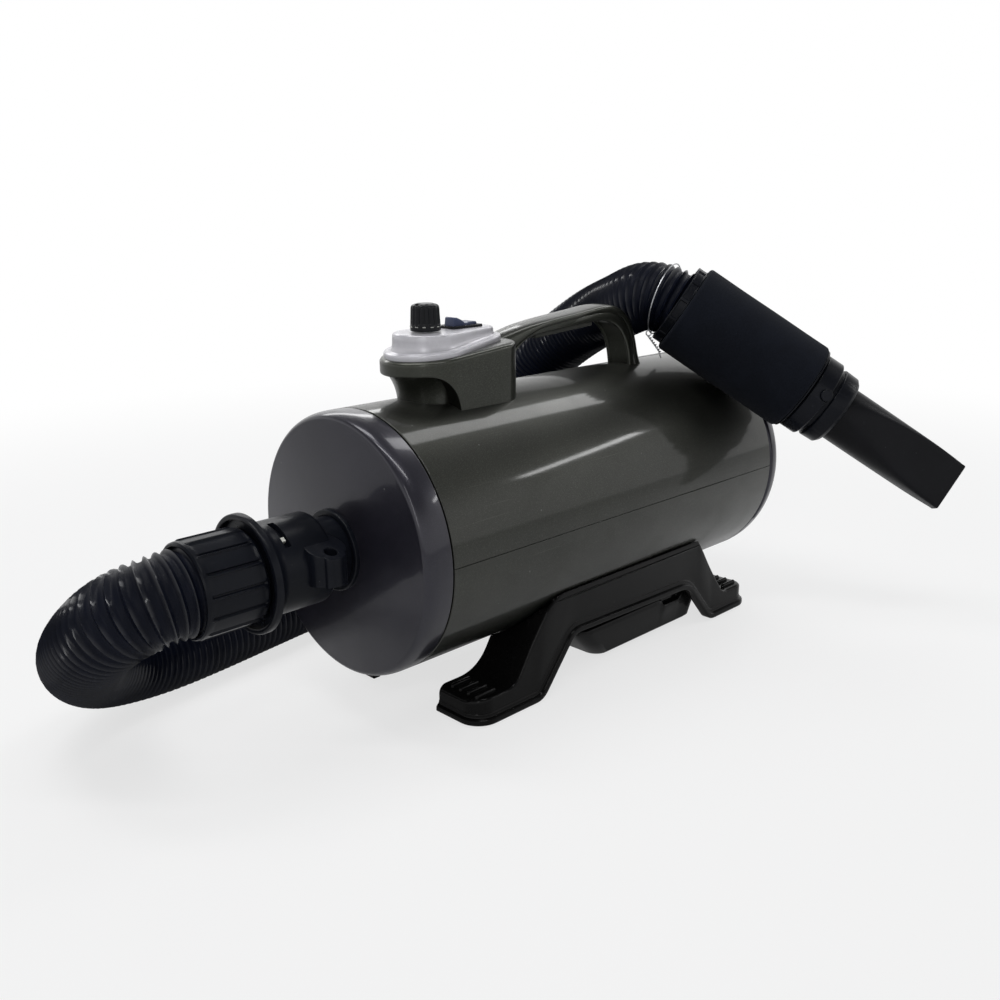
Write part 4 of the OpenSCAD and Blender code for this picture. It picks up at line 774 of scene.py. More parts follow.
# the console: heights above the barrel's middle; its top slopes, and an arch is cut under its front
pod = {"x": -133, "radius": 36, "end": -63, "corner": 20, "rimHeight": 11.5, "slopeZ": 133.0, "slope": 0.085,
       "base": 86, "archFront": -158, "archRear": -131.5, "neck": 23.5, "neckBase": 88,
       # the rim from the top's middle to the wall: (inset, drop)
       "rim": ((14, 0), (6, 0), (3.4, 0.1), (1.7, 0.6), (0.6, 1.5), (0.1, 2.4), (0, 3.2)),
       # columns gathered where the arch meets the floor, from archRear
       "archSteps": (-1.1, -0.8, -0.5, -0.3, -0.15, -0.05, 0, 0.2, 1.5)}
panel = {"flangeRadius": 32.8, "flangeRear": 21, "flangeRearX": -85, "flange": 4, "deckZ": 148.5,
         "deckRadius": 25.8, "deckRear": 13, "deckRearX": -82,
         # (share of the way to the flange, inset from the deck's edge, share of the height, drop)
         "steps": ((0, 12, 0, 0), (0, 4, 0, 0), (0, 2.2, 0, 0.05), (0, 1.0, 0, 0.4), (0, 0.35, 0, 1.0),
                   (0, 0.05, 0, 1.8), (0.02, 0, 0.30, 1), (0.05, 0, 0.6, 0.6), (0.12, 0, 0.85, 0.2),
                   (0.24, 0, 0.97, 0), (0.4, 0, 1, 0), (0.8, 0, 1, 0), (0.9, 0, 1, 0.12),
                   (0.96, 0, 1, 0.5), (0.99, 0, 1, 1.1), (1.0, 0, 1, 1.9), (1.0, 0, 1, 3.6),
                   (0.97, 0, 1, 4.4), (0.7, 0, 1, 4.4))}


def slopeZ(x):
    # height of the console's sloping top
    return pod["slopeZ"] + pod["slope"] * (x - pod["x"])


def podOutline(inset):
    # half circle at the front, straight sides, two rounded rear corners, going round from the front
    r, c = pod["radius"] - inset, pod["corner"] - inset
    cornerX, cornerY = pod["end"] - pod["corner"], pod["radius"] - pod["corner"]
    front = np.radians(np.linspace(90, 270, 100))
    low, high = np.radians(np.linspace(270, 360, 32)), np.radians(np.linspace(0, 90, 32))
    sideX = np.concatenate([np.array(pod["archSteps"]) + pod["archRear"],
                            np.linspace(pod["archRear"] + 5.5, cornerX, 10)[:-1]])
    return np.vstack([
        np.stack([pod["x"] + r * np.cos(front), r * np.sin(front)], -1),
        np.stack([sideX, np.full(len(sideX), -r)], -1),
        np.stack([cornerX + c * np.cos(low), -cornerY + c * np.sin(low)], -1),
        np.stack([cornerX + c * np.cos(high), cornerY + c * np.sin(high)], -1),
        np.stack([sideX[::-1], np.full(len(sideX), r)], -1)])


def taperOutline(x0, r0, x1, r1, count=144):
    # the outline round two circles on the x axis and their two tangents, at even angles of its normal
    angle = np.radians(np.linspace(90, 450, count, endpoint=False))
    turn = math.acos((r0 - r1) / (x1 - x0))
    front = np.abs(np.arctan2(np.sin(angle), np.cos(angle))) > turn
    centre, radius = np.where(front, x0, x1), np.where(front, r0, r1)
    return np.stack([centre + radius * np.cos(angle), radius * np.sin(angle)], -1)


def podFloor(x):
    # underside: level below the rim, then a quarter ellipse down into the barrel
    t = np.clip((x - pod["archFront"]) / (pod["archRear"] - pod["archFront"]), 0, 1)
    return pod["base"] + (slopeZ(x) - pod["rimHeight"] - pod["base"]) * np.sqrt(1 - t ** 2)


def podShell():
    # the plan carried over a rounded top edge, down the wall, round the lower edge and level underneath
    rows = []
    for inset, drop in pod["rim"]:
        plan = podOutline(inset)
        rows.append(np.column_stack([plan, slopeZ(plan[:, 0]) - drop]))
    top, floor = rows[-1][:, 2], podFloor(plan[:, 0])
    for share in (0.15, 0.3, 0.5, 0.7, 0.85, 1.0):
        rows.append(np.column_stack([plan, top + (floor + 0.9 - top) * share]))
    for inset, rise in ((0.25, 0.3), (0.9, 0)):
        edge = podOutline(inset)
        rows.append(np.column_stack([edge, podFloor(edge[:, 0]) + rise]))
    for share in (0.85, 0.6, 0.3, 0.0):
        rows.append(np.column_stack([edge * [1, share], podFloor(edge[:, 0])]))
    return patch(np.array(rows), loopV=True, capU=True)


def podNeck():
    # a flare of revolution: the radius grows with the cube of the height
    f = np.linspace(0, 1, 24)
    z = pod["neckBase"] + (pod["slopeZ"] - pod["rimHeight"] + 1 - pod["neckBase"]) * f
    r = pod["neck"] + (pod["radius"] - 1.5 - pod["neck"]) * f ** 3
    points = turned(np.stack([z, r], -1), 96) + [pod["x"], 0, 0]
    return patch(points, loopU=True, capV=True)


def panelSurface():
    # plan slides from the deck's outline to the flange's; height from the flat deck to the sloped flange
    deck = taperOutline(pod["x"], panel["deckRadius"], panel["deckRearX"], panel["deckRear"])
    flange = taperOutline(pod["x"], panel["flangeRadius"], panel["flangeRearX"], panel["flangeRear"])
    inward = unit(deck - [(pod["x"] + panel["deckRearX"]) / 2, 0])
    rows = []
    for share, inset, fall, drop in panel["steps"]:
        plan = deck * (1 - share) + flange * share - inward * inset
        flangeTop = slopeZ(plan[:, 0]) + panel["flange"]
        rows.append(np.column_stack([plan, panel["deckZ"] * (1 - fall) + flangeTop * fall - drop]))
    return patch(np.array(rows), loopV=True, capU=True)


makePiece("control_pod_shell", [podShell(), podNeck()], upright, finish["console"], replaced=["control_pod"])
makePiece("silver_panel", [panelSurface()], upright, finish["panel"], replaced=["control_panel"])

# the knob: its pointer is (from, to, height, width), each dash round its skirt (length, height, depth)
knob = {"x": -134, "base": 149.5, "radius": 11, "height": 20, "skirt": 4.4, "flutes": 16, "flute": 0.9,
        "pointer": (-9.4, -4.2, 0.9, 1.1), "sunk": 0.75, "marks": 12, "mark": (2.4, 0.5, 0.5), "markTurn": 15,
        "markHeight": 3, "markRaised": 0.45}


def knobSwell(along, angle):
    # broad flutes above the skirt, each a power of a cosine round the axis
    up = smooth((along - knob["base"] - knob["skirt"]) / 0.8)
    top = smooth((knob["base"] + knob["height"] - 1.2 - along) / 1.5)
    flute = (0.5 + 0.5 * np.cos(wrapped(angle, knob["flutes"]) * knob["flutes"])) ** 2.2
    return -knob["flute"] * flute * up * top


def makeKnob():
    # a skirt, fluted side and dished top turned round the axis, a raised pointer, dashes round the skirt
    b, r, h = knob["base"], knob["radius"], knob["height"]
    side = np.stack([np.linspace(b + 0.9, b + h - 3.2, 30), np.linspace(r + 0.5, r - 0.3, 30)], -1)
    profile = np.vstack([[(b, 0.01), (b, r), (b + 0.2, r + 0.4)], side,
                         [(b + h - 2.0, r - 0.6), (b + h - 1.1, r - 1.4), (b + h - 0.7, r - 2.4),
                          (b + h - 0.6, r - 3.0), (b + h - 1.0, r - 3.2), (b + h - 1.0, r - 3.8),
                          (b + h - 0.2, r - 4.2), (b + h, r - 5), (b + h, 2), (b + h, 0.01)]])
    body = patch(turned(profile, 288, knobSwell) + [knob["x"], 0, 0], loopU=True)
    x0, x1, rise, width = knob["pointer"]
    verts, faces = extruded([(x0, 0.0), (x1, 0.0), (x1, rise), (x0, rise)], width, 0.15)
    pointer = (verts + [knob["x"], 0, b + h - knob["sunk"]], faces)
    makePiece("speed_knob_fluted", [body, pointer], upright, finish["knob"], "knob", ["speed_knob"],
              crease=40)

    length, height, depth = knob["mark"]
    verts, faces = extruded([(-length / 2, 0), (length / 2, 0), (length / 2, height), (-length / 2, height)],
                            depth, 0.1)
    verts = verts + [0, r + knob["markRaised"], 0]
    dashes = []
    for turn in np.radians(knob["markTurn"] + 360 / knob["marks"] * np.arange(knob["marks"])):
        cos, sin = math.cos(turn), math.sin(turn)
        spun = verts @ np.array([[cos, sin, 0], [-sin, cos, 0], [0, 0, 1]])
        dashes.append((spun + [knob["x"], 0, b + knob["markHeight"]], faces))
    makePiece("knob_marks", dashes, upright, finish["latch"], "knob")


# the rocker's side view about its pivot: a flat-topped lobe either side, and the stem below
rocker = {"tilt": 12, "width": 12,
          "side": [(-10.9, 0), (-11.5, 7.4), (-10.2, 8.3), (-4, 7.0), (0, 5.0), (4, 7.0), (10.2, 8.3),
                   (11.5, 7.4), (10.9, 0), (4, -2.2), (2.4, -3.9), (-2.4, -3.9), (-4, -2.2)],
          "rounding": [0.5, 1, 0.8, 1.5, 2, 1.5, 0.8, 1, 0.5, 0.3, 0.3, 0.3, 0.3]}


def makeSwitch():
    # the rocker's rounded side view, turned to its tilt at rest and carried along the pivot
    refined("rocker_switch", finish["switch"], bevel=0.5, name="rocker_bezel")
    tilt = math.radians(rocker["tilt"])
    side = softened(rocker["side"], rocker["rounding"], 4, closed=True)
    turn = np.array([[math.cos(tilt), math.sin(tilt)], [-math.sin(tilt), math.cos(tilt)]])
    verts, faces = extruded(side @ turn.T, rocker["width"], 0.5)
    pivot = np.array(joints["rocker_press"]["pos_m"]) / mm - bodyCentre
    makePiece("rocker_key_lobes", [(verts + pivot, faces)], upright, finish["key"], "rocker", ["rocker_key"],
              crease=40)


makeKnob()
makeSwitch()
print("console made")

handle = {
    "width": 26,
    # matched points of the outer and inner curve, (x, z) from the middle of the housing
    "outer": [(-66, 139.2), (-50, 142.6), (-34, 145.6), (-16, 147.8), (1, 149.4), (30, 152), (54, 154.4),
              (68, 154.4), (79, 152), (88, 147.2), (95.2, 140), (100.4, 131), (104.3, 121), (108, 109),
              (112, 101), (118, 92)],
    "inner": [(-66, 88), (-63.5, 106), (-58.5, 119), (-49, 129.5), (-35, 136), (6, 139.8), (38, 141.8),
              (56, 141.6), (68.5, 139), (78, 133.6), (84.5, 126.6), (89.0, 119), (91.8, 111), (93.4, 103.5),
              (94.2, 98), (94.4, 92)],
    # section: (share of the half width, share of the way from the outer to the inner curve)
    "section": [(0, 0.0), (0.45, 0.01), (0.74, 0.035), (0.88, 0.075), (0.95, 0.13), (0.985, 0.19), (1.0, 0.27),
                (1.0, 0.40), (0.985, 0.43), (0.93, 0.445), (0.93, 0.485), (0.985, 0.50), (1.0, 0.53),
                (1.0, 0.82), (0.985, 0.93), (0.95, 0.985), (0.90, 1.0), (0.84, 0.985), (0.80, 0.93),
                (0.76, 0.88), (0.5, 0.86), (0.0, 0.86)],
}


def throughPoints(points, steps=7):
    # Catmull-Rom curve through the points: cubics with a slope from the two neighbours of each point
    p = np.asarray(points, float)
    p = np.vstack([2 * p[0] - p[1], p, 2 * p[-1] - p[-2]])
    t = np.linspace(0, 1, steps, endpoint=False)[None, :, None]
    a, b, c, d = (p[i:len(p) - 3 + i][:, None] for i in range(4))
    curve = 0.5 * (2 * b + (c - a) * t + (2 * a - 5 * b + 4 * c - d) * t ** 2
                   + (3 * b - a - 3 * c + d) * t ** 3)
    return np.vstack([curve.reshape(-1, p.shape[1]), p[-2:-1]])


def makeHandle():
    # a section between the outer and inner curve: crowned top, side groove, rails along the underside
    outer, inner = throughPoints(handle["outer"]), throughPoints(handle["inner"])
    quarter = np.array(handle["section"])
    section = np.vstack([quarter, quarter[-2:0:-1] * [-1, 1]])
    y = np.broadcast_to(section[:, 0] * handle["width"] / 2, (len(outer), len(section)))
    share = section[None, :, 1, None]
    flat = outer[:, None] * (1 - share) + inner[:, None] * share
    points = np.stack([flat[..., 0], y, flat[..., 1]], -1)
    makePiece("carry_handle_arch", [patch(points, loopV=True, capU=True)], upright, finish["console"],
              replaced=["carry_handle"])
    refined("grip_insert", finish["grip"], bevel=1.2, name="grip_insert_pad")
    print("handle made")


makeHandle()

# the handset: places along its own axis, from the adapter's swivel, and radii
grip = {"ringBack": -77, "ring": 36.5, "ringBore": 33.5, "notches": 12, "notch": 15.6, "notchLength": 6,
        "notchDepth": 1.1, "sleeveBack": -68, "sleeveFront": 58, "sleeve": 41, "soft": 3, "sleeveBore": 33.2,
        # the foam's waves and how far it is pressed in; its fold: turn, depth, half width, blend
        "wave": 0.16, "pressed": 0.2, "fold": (2.2, 0.35, 0.6, 1.6)}


def ringNotches(along, angle):
    # rectangular notches with smooth edges, evenly round the hose end ring
    near = wrapped(angle, grip["notches"]) * grip["ring"]
    middle = (grip["ringBack"] + grip["sleeveBack"]) / 2
    ends = pulse(along - middle, grip["notchLength"] / 2, 0.4)
    return -grip["notchDepth"] * pulse(near, grip["notch"] / 2, 0.4) * ends


def foamDents(along, angle):
    # shallow waves where the foam lies over the tube, a product of two sines, and one faint length fold
    wave = grip["wave"] * np.sin(along / 17 + 2.2 * np.sin(angle * 2)) * np.sin(angle * 3 + along / 40)
    turn, depth, half, blend = grip["fold"]
    return wave - depth * pulse(wrapped(angle, 1, turn) * grip["sleeve"], half, blend) - grip["pressed"]


def makeRing():
    # a short notched tube, its rear edge rounded inside and out
    back, front, r, bore = grip["ringBack"], grip["sleeveBack"], grip["ring"], grip["ringBore"]
    side = np.stack([np.linspace(back + 1.3, front - 0.6, 26), np.full(26, r)], -1)
    profile = np.vstack([[(front - 0.1, bore), (back + 4, bore), (back, bore + 1.9), (back, r - 0.8),
                          (back + 0.5, r - 0.2)], side, [(front - 0.1, r - 0.5)]])
    makePiece("hose_end_collar", [patch(turned(profile, 480, ringNotches), loopU=True, loopV=True)], handset,
              finish["fitting"], replaced=["hose_end_ring"])


def makeSleeve():
    # a foam tube with quarter-circle edges, turned with its dents
    back, front, soft, r = grip["sleeveBack"], grip["sleeveFront"], grip["soft"], grip["sleeve"]
    turn = np.radians(np.linspace(0, 90, 7))
    inward, fall = soft * (1 - np.cos(turn)), soft * (1 - np.sin(turn))
    start = np.stack([back + inward, r - fall], -1)
    middle = np.stack([np.linspace(back + soft + 2, front - soft - 2, 60), np.full(60, float(r))], -1)
    end = np.stack([front - 0.1 - inward, r - fall], -1)[::-1]
    profile = np.vstack([[(back, grip["sleeveBore"])], start, middle, end,
                         [(front - 0.1, grip["sleeveBore"])]])
    sleeve = makePiece("foam_sleeve_soft", [patch(turned(profile, 160, foamDents), loopU=True, loopV=True)],
                       handset, finish["foam"], replaced=["foam_sleeve"], crease=50)


makeRing()
refined("handset_tube", finish["fitting"], bevel=0.3, name="handset_core")
makeSleeve()
refined("adapter_ring", finish["fitting"], "adapter", 0.5, name="adapter_stepped")
refined("nozzle_button", finish["fitting"], "button", 0.5, name="nozzle_release")
print("handset made")

nozzle = {"tail": 83, "start": 97, "front": 218, "radius": 25.3, "clear": 1.5, "mouthWidth": 46,
          "mouthHeight": 12, "mouthLength": 6, "roll": -21, "wall": 2, "sharp": 22, "columns": 160,
          "gathered": (0.42, 0.10)}


def nozzleSection(along, shrink=0.0):
    # a circle cut by four planes that close in towards the mouth; the cuts blend by a high power mean
    length = nozzle["front"] - nozzle["mouthLength"] - nozzle["start"]
    s = np.clip((along - nozzle["start"] - 2) / length, 0, 1)[:, None]
    r = nozzle["radius"]
    width = (r + nozzle["clear"]) * (1 - s) + nozzle["mouthWidth"] / 2 * s - shrink
    height = (r + nozzle["clear"]) * (1 - s) + nozzle["mouthHeight"] / 2 * s - shrink
    even = np.linspace(0, 2 * math.pi, nozzle["columns"], endpoint=False)
    # columns gathered where the section turns sharply near the mouth
    corner = math.atan2(nozzle["mouthHeight"], nozzle["mouthWidth"])
    twice, fourTimes = nozzle["gathered"]
    angle = even - twice * np.sin(2 * even) - fourTimes * np.sin(4 * even) * corner
    p = nozzle["sharp"]
    cos, sin = np.abs(np.cos(angle)), np.abs(np.sin(angle))
    reach = ((r - shrink) ** -p + (cos / width) ** p + (sin / height) ** p) ** (-1 / p)
    reach = np.where(along[:, None] < nozzle["start"] - 1, r - shrink, reach)
    turn = angle + math.radians(nozzle["roll"])
    along = np.broadcast_to(along[:, None], reach.shape)
    return np.stack([reach * np.cos(turn), reach * np.sin(turn), along], -1)


def makeNozzle():
    # sections stacked along the axis: the skin, the lip at the mouth, then the lining back inside
    front, tail, wall, blend = nozzle["front"], nozzle["tail"], nozzle["wall"], nozzle["start"] - 2
    skin = nozzleSection(np.concatenate([[tail], np.linspace(blend, front - 0.6, 70)]))
    lip = nozzleSection(np.array([front]), 0.5)
    lining = nozzleSection(np.concatenate([[front - 0.4], np.linspace(front - 2, blend, 40), [tail]]), wall)
    lipInside = nozzleSection(np.array([front]), wall - 0.4)
    rows = np.concatenate([skin, lip, lipInside, lining])
    makePiece("flat_nozzle_blade", [patch(rows, loopU=True, loopV=True)], handset, finish["nozzle"], "nozzle",
              ["flat_nozzle"], crease=38)
    print("nozzle made")


makeNozzle()

# a tie wire round the hose, with a small plain tag hung on it; places in the world, its winding in radians
tie = {"centre": (111.3, -24.4, 295.9), "way": (0.290, -0.915, -0.280), "radius": 32.0, "wire": 0.55,
       "eye": 2.4, "hung": 63, "drop": (15.0, -2.0, -15.5), "wind": 22, "sway": (0.54, -0.63, 0.27),
       "twist": (0.27, 0.45, 0.72), "tag": (13, 6.5, 0.7), "tagShift": (1.5, 1.5, -2.2),
       "lean": ((0.72, 0.69, 0.05), (-0.66, 0.70, -0.26), (-0.21, 0.16, 0.96))}


def rod(line, radius, closed=False, sides=8):
    # a circle carried along a line of points
    way = unit(np.roll(line, -1, 0) - np.roll(line, 1, 0)) if closed else unit(np.gradient(line, axis=0))
    side = unit(np.cross(way, [0.31, 0.22, 0.93]))
    across = np.cross(way, side)
    angle = np.linspace(0, 2 * math.pi, sides, endpoint=False)[None, :, None]
    points = line[:, None] + radius * (np.cos(angle) * side[:, None] + np.sin(angle) * across[:, None])
    return patch(points, loopU=closed, loopV=True, capU=not closed)


def makeTie():
    # a loop round the hose, an eye under it, two wires wound round each other down to the tag
    way = unit(tie["way"])
    level = unit(np.cross([0, 0, 1], way))
    up = np.cross(way, level)
    angle = np.linspace(0, 2 * math.pi, 96, endpoint=False)[:, None]
    loop = np.array(tie["centre"]) + tie["radius"] * (np.cos(angle) * level + np.sin(angle) * up)
    eyeCentre = loop[tie["hung"]] + [0, 0, -tie["eye"] - 0.6]
    around = np.cos(angle[::3]) * [0.8, -0.6, 0] + np.sin(angle[::3]) * [0, 0, 1]
    eye = eyeCentre + tie["eye"] * around
    t = np.linspace(0, 1, 50)[:, None]
    run = eyeCentre + [0, 0, -tie["eye"]] + t * tie["drop"]
    wound = tie["wind"] * t
    pair = [run + np.cos(wound + phase) * tie["sway"] + np.sin(wound + phase) * tie["twist"]
            for phase in (0, math.pi)]
    rods = [rod(loop, tie["wire"], True), rod(eye, tie["wire"], True)]
    rods += [rod(line, tie["wire"] * 0.8) for line in pair]
    makePiece("tie_wire", rods, world, finish["steel"])
    x, z, thick = tie["tag"][0] / 2, tie["tag"][1] / 2, tie["tag"][2]
    verts, faces = extruded(softened([(-x, -z), (x, -z), (x, z), (-x, z)], 1.2, 4, closed=True), thick, 0.2)
    makePiece("plain_tag", [(verts @ tie["lean"] + run[-1] + tie["tagShift"], faces)], world, finish["panel"])
    print("tie made")


makeTie()

# the stand: seen from the side its outlines are rounded polylines; the far half mirrors the near one
stand = {
    "lift": 1.5, "side": 84, "lean": 2.5, "end": 181.5, "inner": 40, "corner": 16, "plate": 4, "gap": 1,
    "endRound": 7, "sideRound": 2.4, "roof": 5, "leanFrom": 45, "leanRise": 40,
    # corners of the upper outline, (x, z), with their rounding at the outer and at the inner edge
    "top": [(-182, 21, 0, 0), (-140.5, 21, 9, 24), (-99, 88.5, 26, 30), (91, 87.5, 6, 10), (142, 20.5, 9, 20),
            (182, 20.5, 0, 0)],
    # corners of the lower outline, with their rounding
    "foot": [(-182, 0, 0), (-112, 0, 8), (-75, 45.5, 7), (74, 42.5, 8), (84, 38, 6), (117, 0, 8), (182, 0, 0)],
    # the lip's section: height above the lower outline, distance out of the wall
    "lip": [(9.4, 0), (8.8, 0.05), (8.3, 0.45), (7.6, 0.6), (6.2, 0.6), (5.5, 0.9), (5.15, 1.7), (4.9, 2.6),
            (4.3, 3.2), (3.2, 3.4), (1.2, 3.4), (0.35, 3.1), (0, 2.4)],
    "ribY": (49, 58, 67, 76), "ribX": ((-177, -155), (151, 173)), "ribBase": 18, "ribTop": 25.0,
    "ribWidth": 3.4,
    # the saddle along the barrel: front, rear, inner and outer radius, half its angle
    "saddle": (-84, 111, 101, 105, 56),
}


def outlineHeight(corners, rounding, x):
    # height at x of a polyline with its corners rounded
    points = softened(corners, rounding, 10)
    return np.interp(x, points[:, 0], points[:, 1])


def standTop(x, y):
    # upper outline, gentler at the inner edge, kept under the barrel's circle
    corners = np.array(stand["top"], float)
    outer = outlineHeight(corners[:, :2], corners[:, 2], x)
    inner = outlineHeight(corners[:, :2], corners[:, 3], x)
    share = smooth((stand["side"] - y) / (stand["side"] - stand["inner"]))
    under = bodyCentre[2] - stand["lift"] - np.sqrt(np.maximum((bodyRadius + stand["gap"]) ** 2 - y ** 2, 0))
    return np.minimum(outer * (1 - share) + inner * share, under)


def standPlan():
    # half of the plan: up one end, round a corner, along the side, round a corner, down the other end
    end, side, r = stand["end"], stand["side"], stand["corner"]
    endY = np.linspace(stand["inner"], side - r, 14)[:-1]
    turn = np.radians(np.linspace(180, 90, 16))
    x = np.linspace(-end + r, end - r, 290)[1:-1]
    front = np.column_stack([np.full(13, -end), endY, np.full(13, -1.0), np.zeros(13)])
    corner = np.column_stack([-end + r + r * np.cos(turn), side - r + r * np.sin(turn),
                              np.cos(turn), np.sin(turn)])
    middle = np.column_stack([x, np.full(288, float(side)), np.zeros(288), np.ones(288)])
    flip = [-1, 1, -1, 1]
    return np.vstack([front, corner, middle, corner[::-1] * flip, front[::-1] * flip])


def standHalf(sign):
    # rows run from the inner edge over the top, round its edge, down the wall, round the lip and back inside
    plan = standPlan()
    at, out = plan[:, :2], plan[:, 2:]
    foot = np.array(stand["foot"], float)
    low = outlineHeight(foot[:, :2], foot[:, 2], at[:, 0])
    # the lower outline's normal, where the plan runs along the side
    step = np.gradient(at[:, 0])
    fall = np.gradient(low, np.arange(len(low))) / np.where(np.abs(step) < 1e-6, 1, step)
    steep = np.where(np.abs(out[:, 1]) > 0.999, fall, 0)
    lowNormal = unit(np.column_stack([-steep, np.ones(len(low))]))
    edge = stand["sideRound"] + (stand["endRound"] - stand["sideRound"]) * (1 - np.abs(out[:, 1]))
    lean = stand["lean"] * smooth((standTop(at[:, 0], at[:, 1]) - stand["leanFrom"]) / stand["leanRise"])

    def over(inset, drop):
        # a row on the top: inset from the plan, dropped below the upper outline
        p = at - out * (inset - lean)[:, None]
        return np.column_stack([p, standTop(p[:, 0], p[:, 1]) - drop])

    def across(share, drop):
        # a row between the deepest inset and the inner edge
        p = at - out * stand["corner"]
        p[:, 1] += (stand["inner"] - p[:, 1]) * share
        return np.column_stack([p, standTop(p[:, 0], p[:, 1]) - drop])

    turn = np.radians(np.linspace(0, 90, 7))
    rows = [across(share, 0) for share in (1, 0.75, 0.5, 0.25)]
    rows += [over(np.full(len(at), inset), 0) for inset in (16.0, 12.0, 9.0)]
    rows += [over(edge * (1 - math.sin(a)), edge * (1 - math.cos(a))) for a in turn]
    wallTop = rows[-1]
    lip = []
    for height, reach in stand["lip"]:
        p = at + out * reach
        lip.append(np.column_stack([p[:, 0] + lowNormal[:, 0] * height, p[:, 1],
                                    low + lowNormal[:, 1] * height]))
    rows += [wallTop + (lip[0] - wallTop) * share for share in (0.12, 0.3, 0.5, 0.7, 0.88)]
    rows += lip
    inside = at - out * stand["plate"]
    rows.append(np.column_stack([inside, low]))
    under = standTop(inside[:, 0], inside[:, 1]) - stand["roof"]
    rows.append(np.column_stack([inside, np.maximum(under, low + 0.5)]))
    roof = [over(np.full(len(at), float(stand["corner"])), stand["roof"])]
    roof += [across(share, stand["roof"]) for share in (0.25, 0.5, 0.75, 1)]
    rows += [np.column_stack([row[:, :2], np.maximum(row[:, 2], low + 0.5)]) for row in roof]
    points = np.array(rows) + [0, 0, stand["lift"]]
    return patch(points * [1, sign, 1], loopU=True, capV=True)


def footRibs(sign):
    # rounded bars along the top of each foot, side by side
    bars = []
    base, top = stand["ribBase"], stand["ribTop"]
    for x0, x1 in stand["ribX"]:
        side = softened([(x0, base), (x0 + 0.6, top), (x1 - 0.6, top), (x1, base)], [0, 2.2, 2.2, 0], 5)
        for y in stand["ribY"]:
            verts, faces = extruded(side, stand["ribWidth"], 1.8, 5)
            bars.append((verts + [0, sign * y, 0], faces))
    return bars


def saddle():
    # a shell under the barrel: a rounded rectangle turned between two angles
    x0, x1, r0, r1, half = stand["saddle"]
    profile = softened([(x0, r0), (x0, r1), (x1, r1), (x1, r0)], 1.0, 3, closed=True)
    return patch(turned(profile, 60, None, 180 - half, 180 + half), loopV=True, capU=True)


pan = {"wall": 3, "corner": 12, "clear": 105.7, "floor": 30,
       # a dip in each long edge: depth, (middle, half length, blend) along, (start, blend) across and up
       "dip": 7, "dipAlong": (71, 11, 5), "dipAcross": (60, 8), "dipUp": (22, 12),
       # (height, front end, rear end, half width), from the floor up
       "levels": [(4.0, -22, 108, 65), (4.6, -25, 111, 68), (6.5, -27.5, 113, 70), (20, -41, 114.5, 73),
                  (32, -53, 115.5, 75.6), (35.3, -55.5, 115.5, 76), (36.6, -56, 115.2, 75.4),
                  (37.4, -56.5, 114.5, 74), (37.9, -57, 113.5, 72), (39, -57.6, 113, 71.2),
                  (44, -59, 112, 71)]}


def panPlan(front, rear, half, inset):
    # a rounded rectangle, its corners' arcs and its long sides at even steps
    r = pan["corner"] - inset
    turn = np.radians(np.linspace(0, 90, 9))
    x0, x1, y1 = front + pan["corner"], rear - pan["corner"], half - pan["corner"]
    corners = []
    for k, (x, y) in enumerate(((x1, y1), (x0, y1), (x0, -y1), (x1, -y1))):
        a = turn + math.pi / 2 * k
        corners.append(np.stack([x + r * np.cos(a), y + r * np.sin(a)], -1))
    side = np.linspace(0, 1, 40)[1:-1, None]
    long = [corners[k][-1] * (1 - side) + corners[(k + 1) % 4][0] * side for k in range(4)]
    return np.vstack([part for k in range(4) for part in (corners[k], long[k])])


def panTub():
    # plans stacked over the outside, then down the inside; all kept clear of the barrel's saddle
    rows = []
    middle, reach, blend = pan["dipAlong"]
    (sideY, sideBlend), (startZ, riseBlend) = pan["dipAcross"], pan["dipUp"]
    for inset, levels in ((0, pan["levels"]), (pan["wall"], pan["levels"][::-1])):
        for z, front, rear, half in levels:
            plan = panPlan(front, rear, half, inset)
            dip = pan["dip"] * pulse(plan[:, 0] - middle, reach, blend)
            dip = dip * smooth((np.abs(plan[:, 1]) - sideY) / sideBlend) * smooth((z - startZ) / riseBlend)
            high = z + (inset if z < pan["floor"] else 0) - dip
            under = bodyCentre[2] - np.sqrt(np.maximum(pan["clear"] ** 2 - plan[:, 1] ** 2, 0))
            rows.append(np.column_stack([plan, np.minimum(high, under)]))
    return patch(np.array(rows), loopV=True, capU=True)


standPatches = [standHalf(1), standHalf(-1)] + footRibs(1) + footRibs(-1)
makePiece("cradle_stand_frame", standPatches, world, finish["stand"], replaced=["cradle_stand"])
makePiece("cradle_saddle", [saddle()], alongBarrel, finish["stand"])
makePiece("under_pan_tub", [panTub()], world, finish["stand"], replaced=["under_pan"])
refined("rubber_feet", finish["rubber"], bevel=0.6)
print("stand made")

# the stage: lengths in metres; the ceiling's light fades between two heights of the ray
stage = {"floor": (0.80, 0.80, 0.80), "half": 9, "white": 0.7, "reach": (0.5, 1.6), "ambient": 0.31,
         "ambientColor": (0.96, 0.98, 1, 1), "mirrored": 0.3, "ceiling": (0.3, 0.65), "dim": 0.2}


def lookedAt(g, mirrored=1.0):
    # 1 for rays from the camera, and the share given for mirrored and refracted ones
    camera, glossy, through = (g.add("ShaderNodeLightPath", {}, {}, name)
                               for name in ("Is Camera Ray", "Is Glossy Ray", "Is Transmission Ray"))
    return (camera + glossy * mirrored + through).clamped()


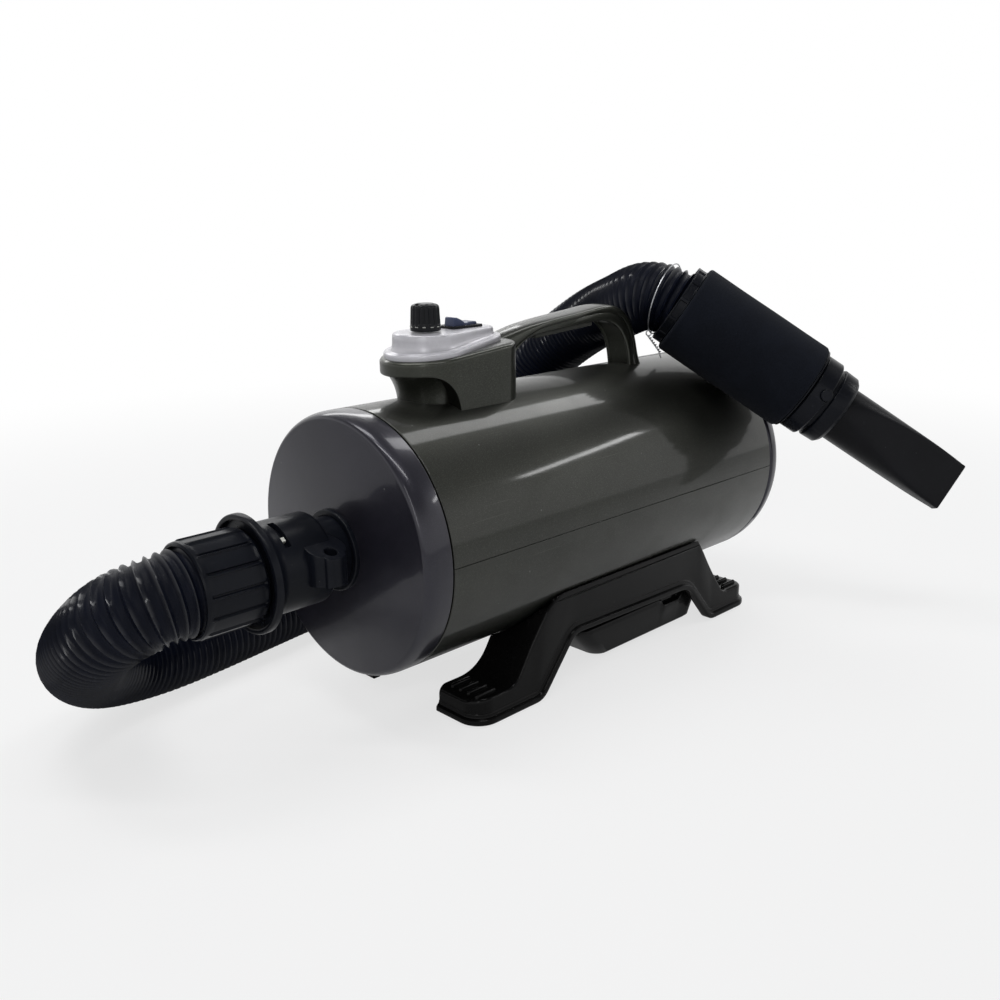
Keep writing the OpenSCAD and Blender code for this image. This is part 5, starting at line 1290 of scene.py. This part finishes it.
def makeFloor():
    # pale floor that turns into plain white with distance
    half = stage["half"]
    mesh = bpy.data.meshes.new("floor")
    corners = [(-half, -half, 0), (half, -half, 0), (half, half, 0), (-half, half, 0)]
    mesh.from_pydata(corners, [], [(0, 1, 2, 3)])
    floor = bpy.data.objects.new("floor", mesh)
    scene.collection.objects.link(floor)
    g = Surface("pale_floor", Roughness=0.9, Specular_IOR_Level=0.1)
    g.paint(Base_Color=(*stage["floor"], 1))
    away = g.add("ShaderNodeVectorMath", {"operation": "LENGTH"}, {0: g.place}, "Value").ramp(*stage["reach"])
    glow = g.add("ShaderNodeEmission", {}, {"Color": (1, 1, 1, 1), "Strength": 1.0})
    factor = lookedAt(g, stage["mirrored"]) * (stage["white"] + away * (1 - stage["white"]))
    mixed = g.add("ShaderNodeMixShader", {}, {0: factor, 1: Value(g, g.shader.outputs[0]), 2: glow})
    g.feed(g.output, {0: mixed})
    mesh.materials.append(g.material)


def makeSky():
    # an even light, and a white sky, dimmer overhead, where it is seen or reflected
    sky = bpy.data.worlds.new("studio")
    scene.world = sky
    sky.use_nodes = True
    sky.node_tree.nodes.clear()
    g = Graph(sky.node_tree, "ShaderNodeOutputWorld")
    plain = g.add("ShaderNodeBackground", {}, {"Color": stage["ambientColor"], "Strength": stage["ambient"]})
    way = g.add("ShaderNodeTexCoord", {}, {}, "Generated")
    height = g.add("ShaderNodeSeparateXYZ", {}, {0: way}, "Z")
    bright, dim = (g.add("ShaderNodeBackground", {}, {"Color": (1, 1, 1, 1), "Strength": strength})
                   for strength in (1.0, stage["dim"]))
    white = g.add("ShaderNodeMixShader", {}, {0: height.ramp(*stage["ceiling"]), 1: bright, 2: dim})
    mixed = g.add("ShaderNodeMixShader", {}, {0: lookedAt(g), 1: plain, 2: white})
    g.feed(g.output, {0: mixed})


lamps = {
    "window": {"place": (0.85, 0.15, 1.25), "aim": (0.0, 0.0, 0.15), "size": (0.3, 0.9), "power": 3.8},
    "front": {"place": (-0.45, 0.40, 1.35), "aim": (-0.1, 0.0, 0.2), "size": (0.3, 0.6), "power": 3.8},
    "overhead": {"place": (-0.35, -0.3, 1.35), "aim": (0.0, 0.0, 0.15), "size": (1.2, 0.11), "power": 4.5},
    "side": {"place": (-1.5, -1.0, 1.0), "aim": (-0.1, 0, 0.15), "size": (0.2, 1.0), "power": 2.8},
    "streak": {"place": (0.95, -0.8, 0.9), "aim": (0.0, 0.0, 0.2), "size": (0.5, 0.05), "power": 1.2},
    "rear": {"place": (0.4, 1.4, 1.1), "aim": (0.0, 0.1, 0.15), "size": (1.4, 0.2), "power": 5.0},
}


def makeLamps():
    # rectangular lamps, each turned so that its back axis points away from its aim
    for name, lamp in lamps.items():
        data = bpy.data.lights.new(name, "AREA")
        data.shape = "RECTANGLE"
        data.size, data.size_y = lamp["size"]
        data.energy = lamp["power"]
        light = bpy.data.objects.new(name, data)
        scene.collection.objects.link(light)
        light.location = lamp["place"]
        back = unit(np.array(lamp["place"]) - np.array(lamp["aim"]))
        side = unit(np.cross([0, 0, 1], back))
        light.rotation_euler = Matrix(np.stack([side, np.cross(back, side), back], 1).tolist()).to_euler()


makeFloor()
makeSky()
makeLamps()
print("stage made")
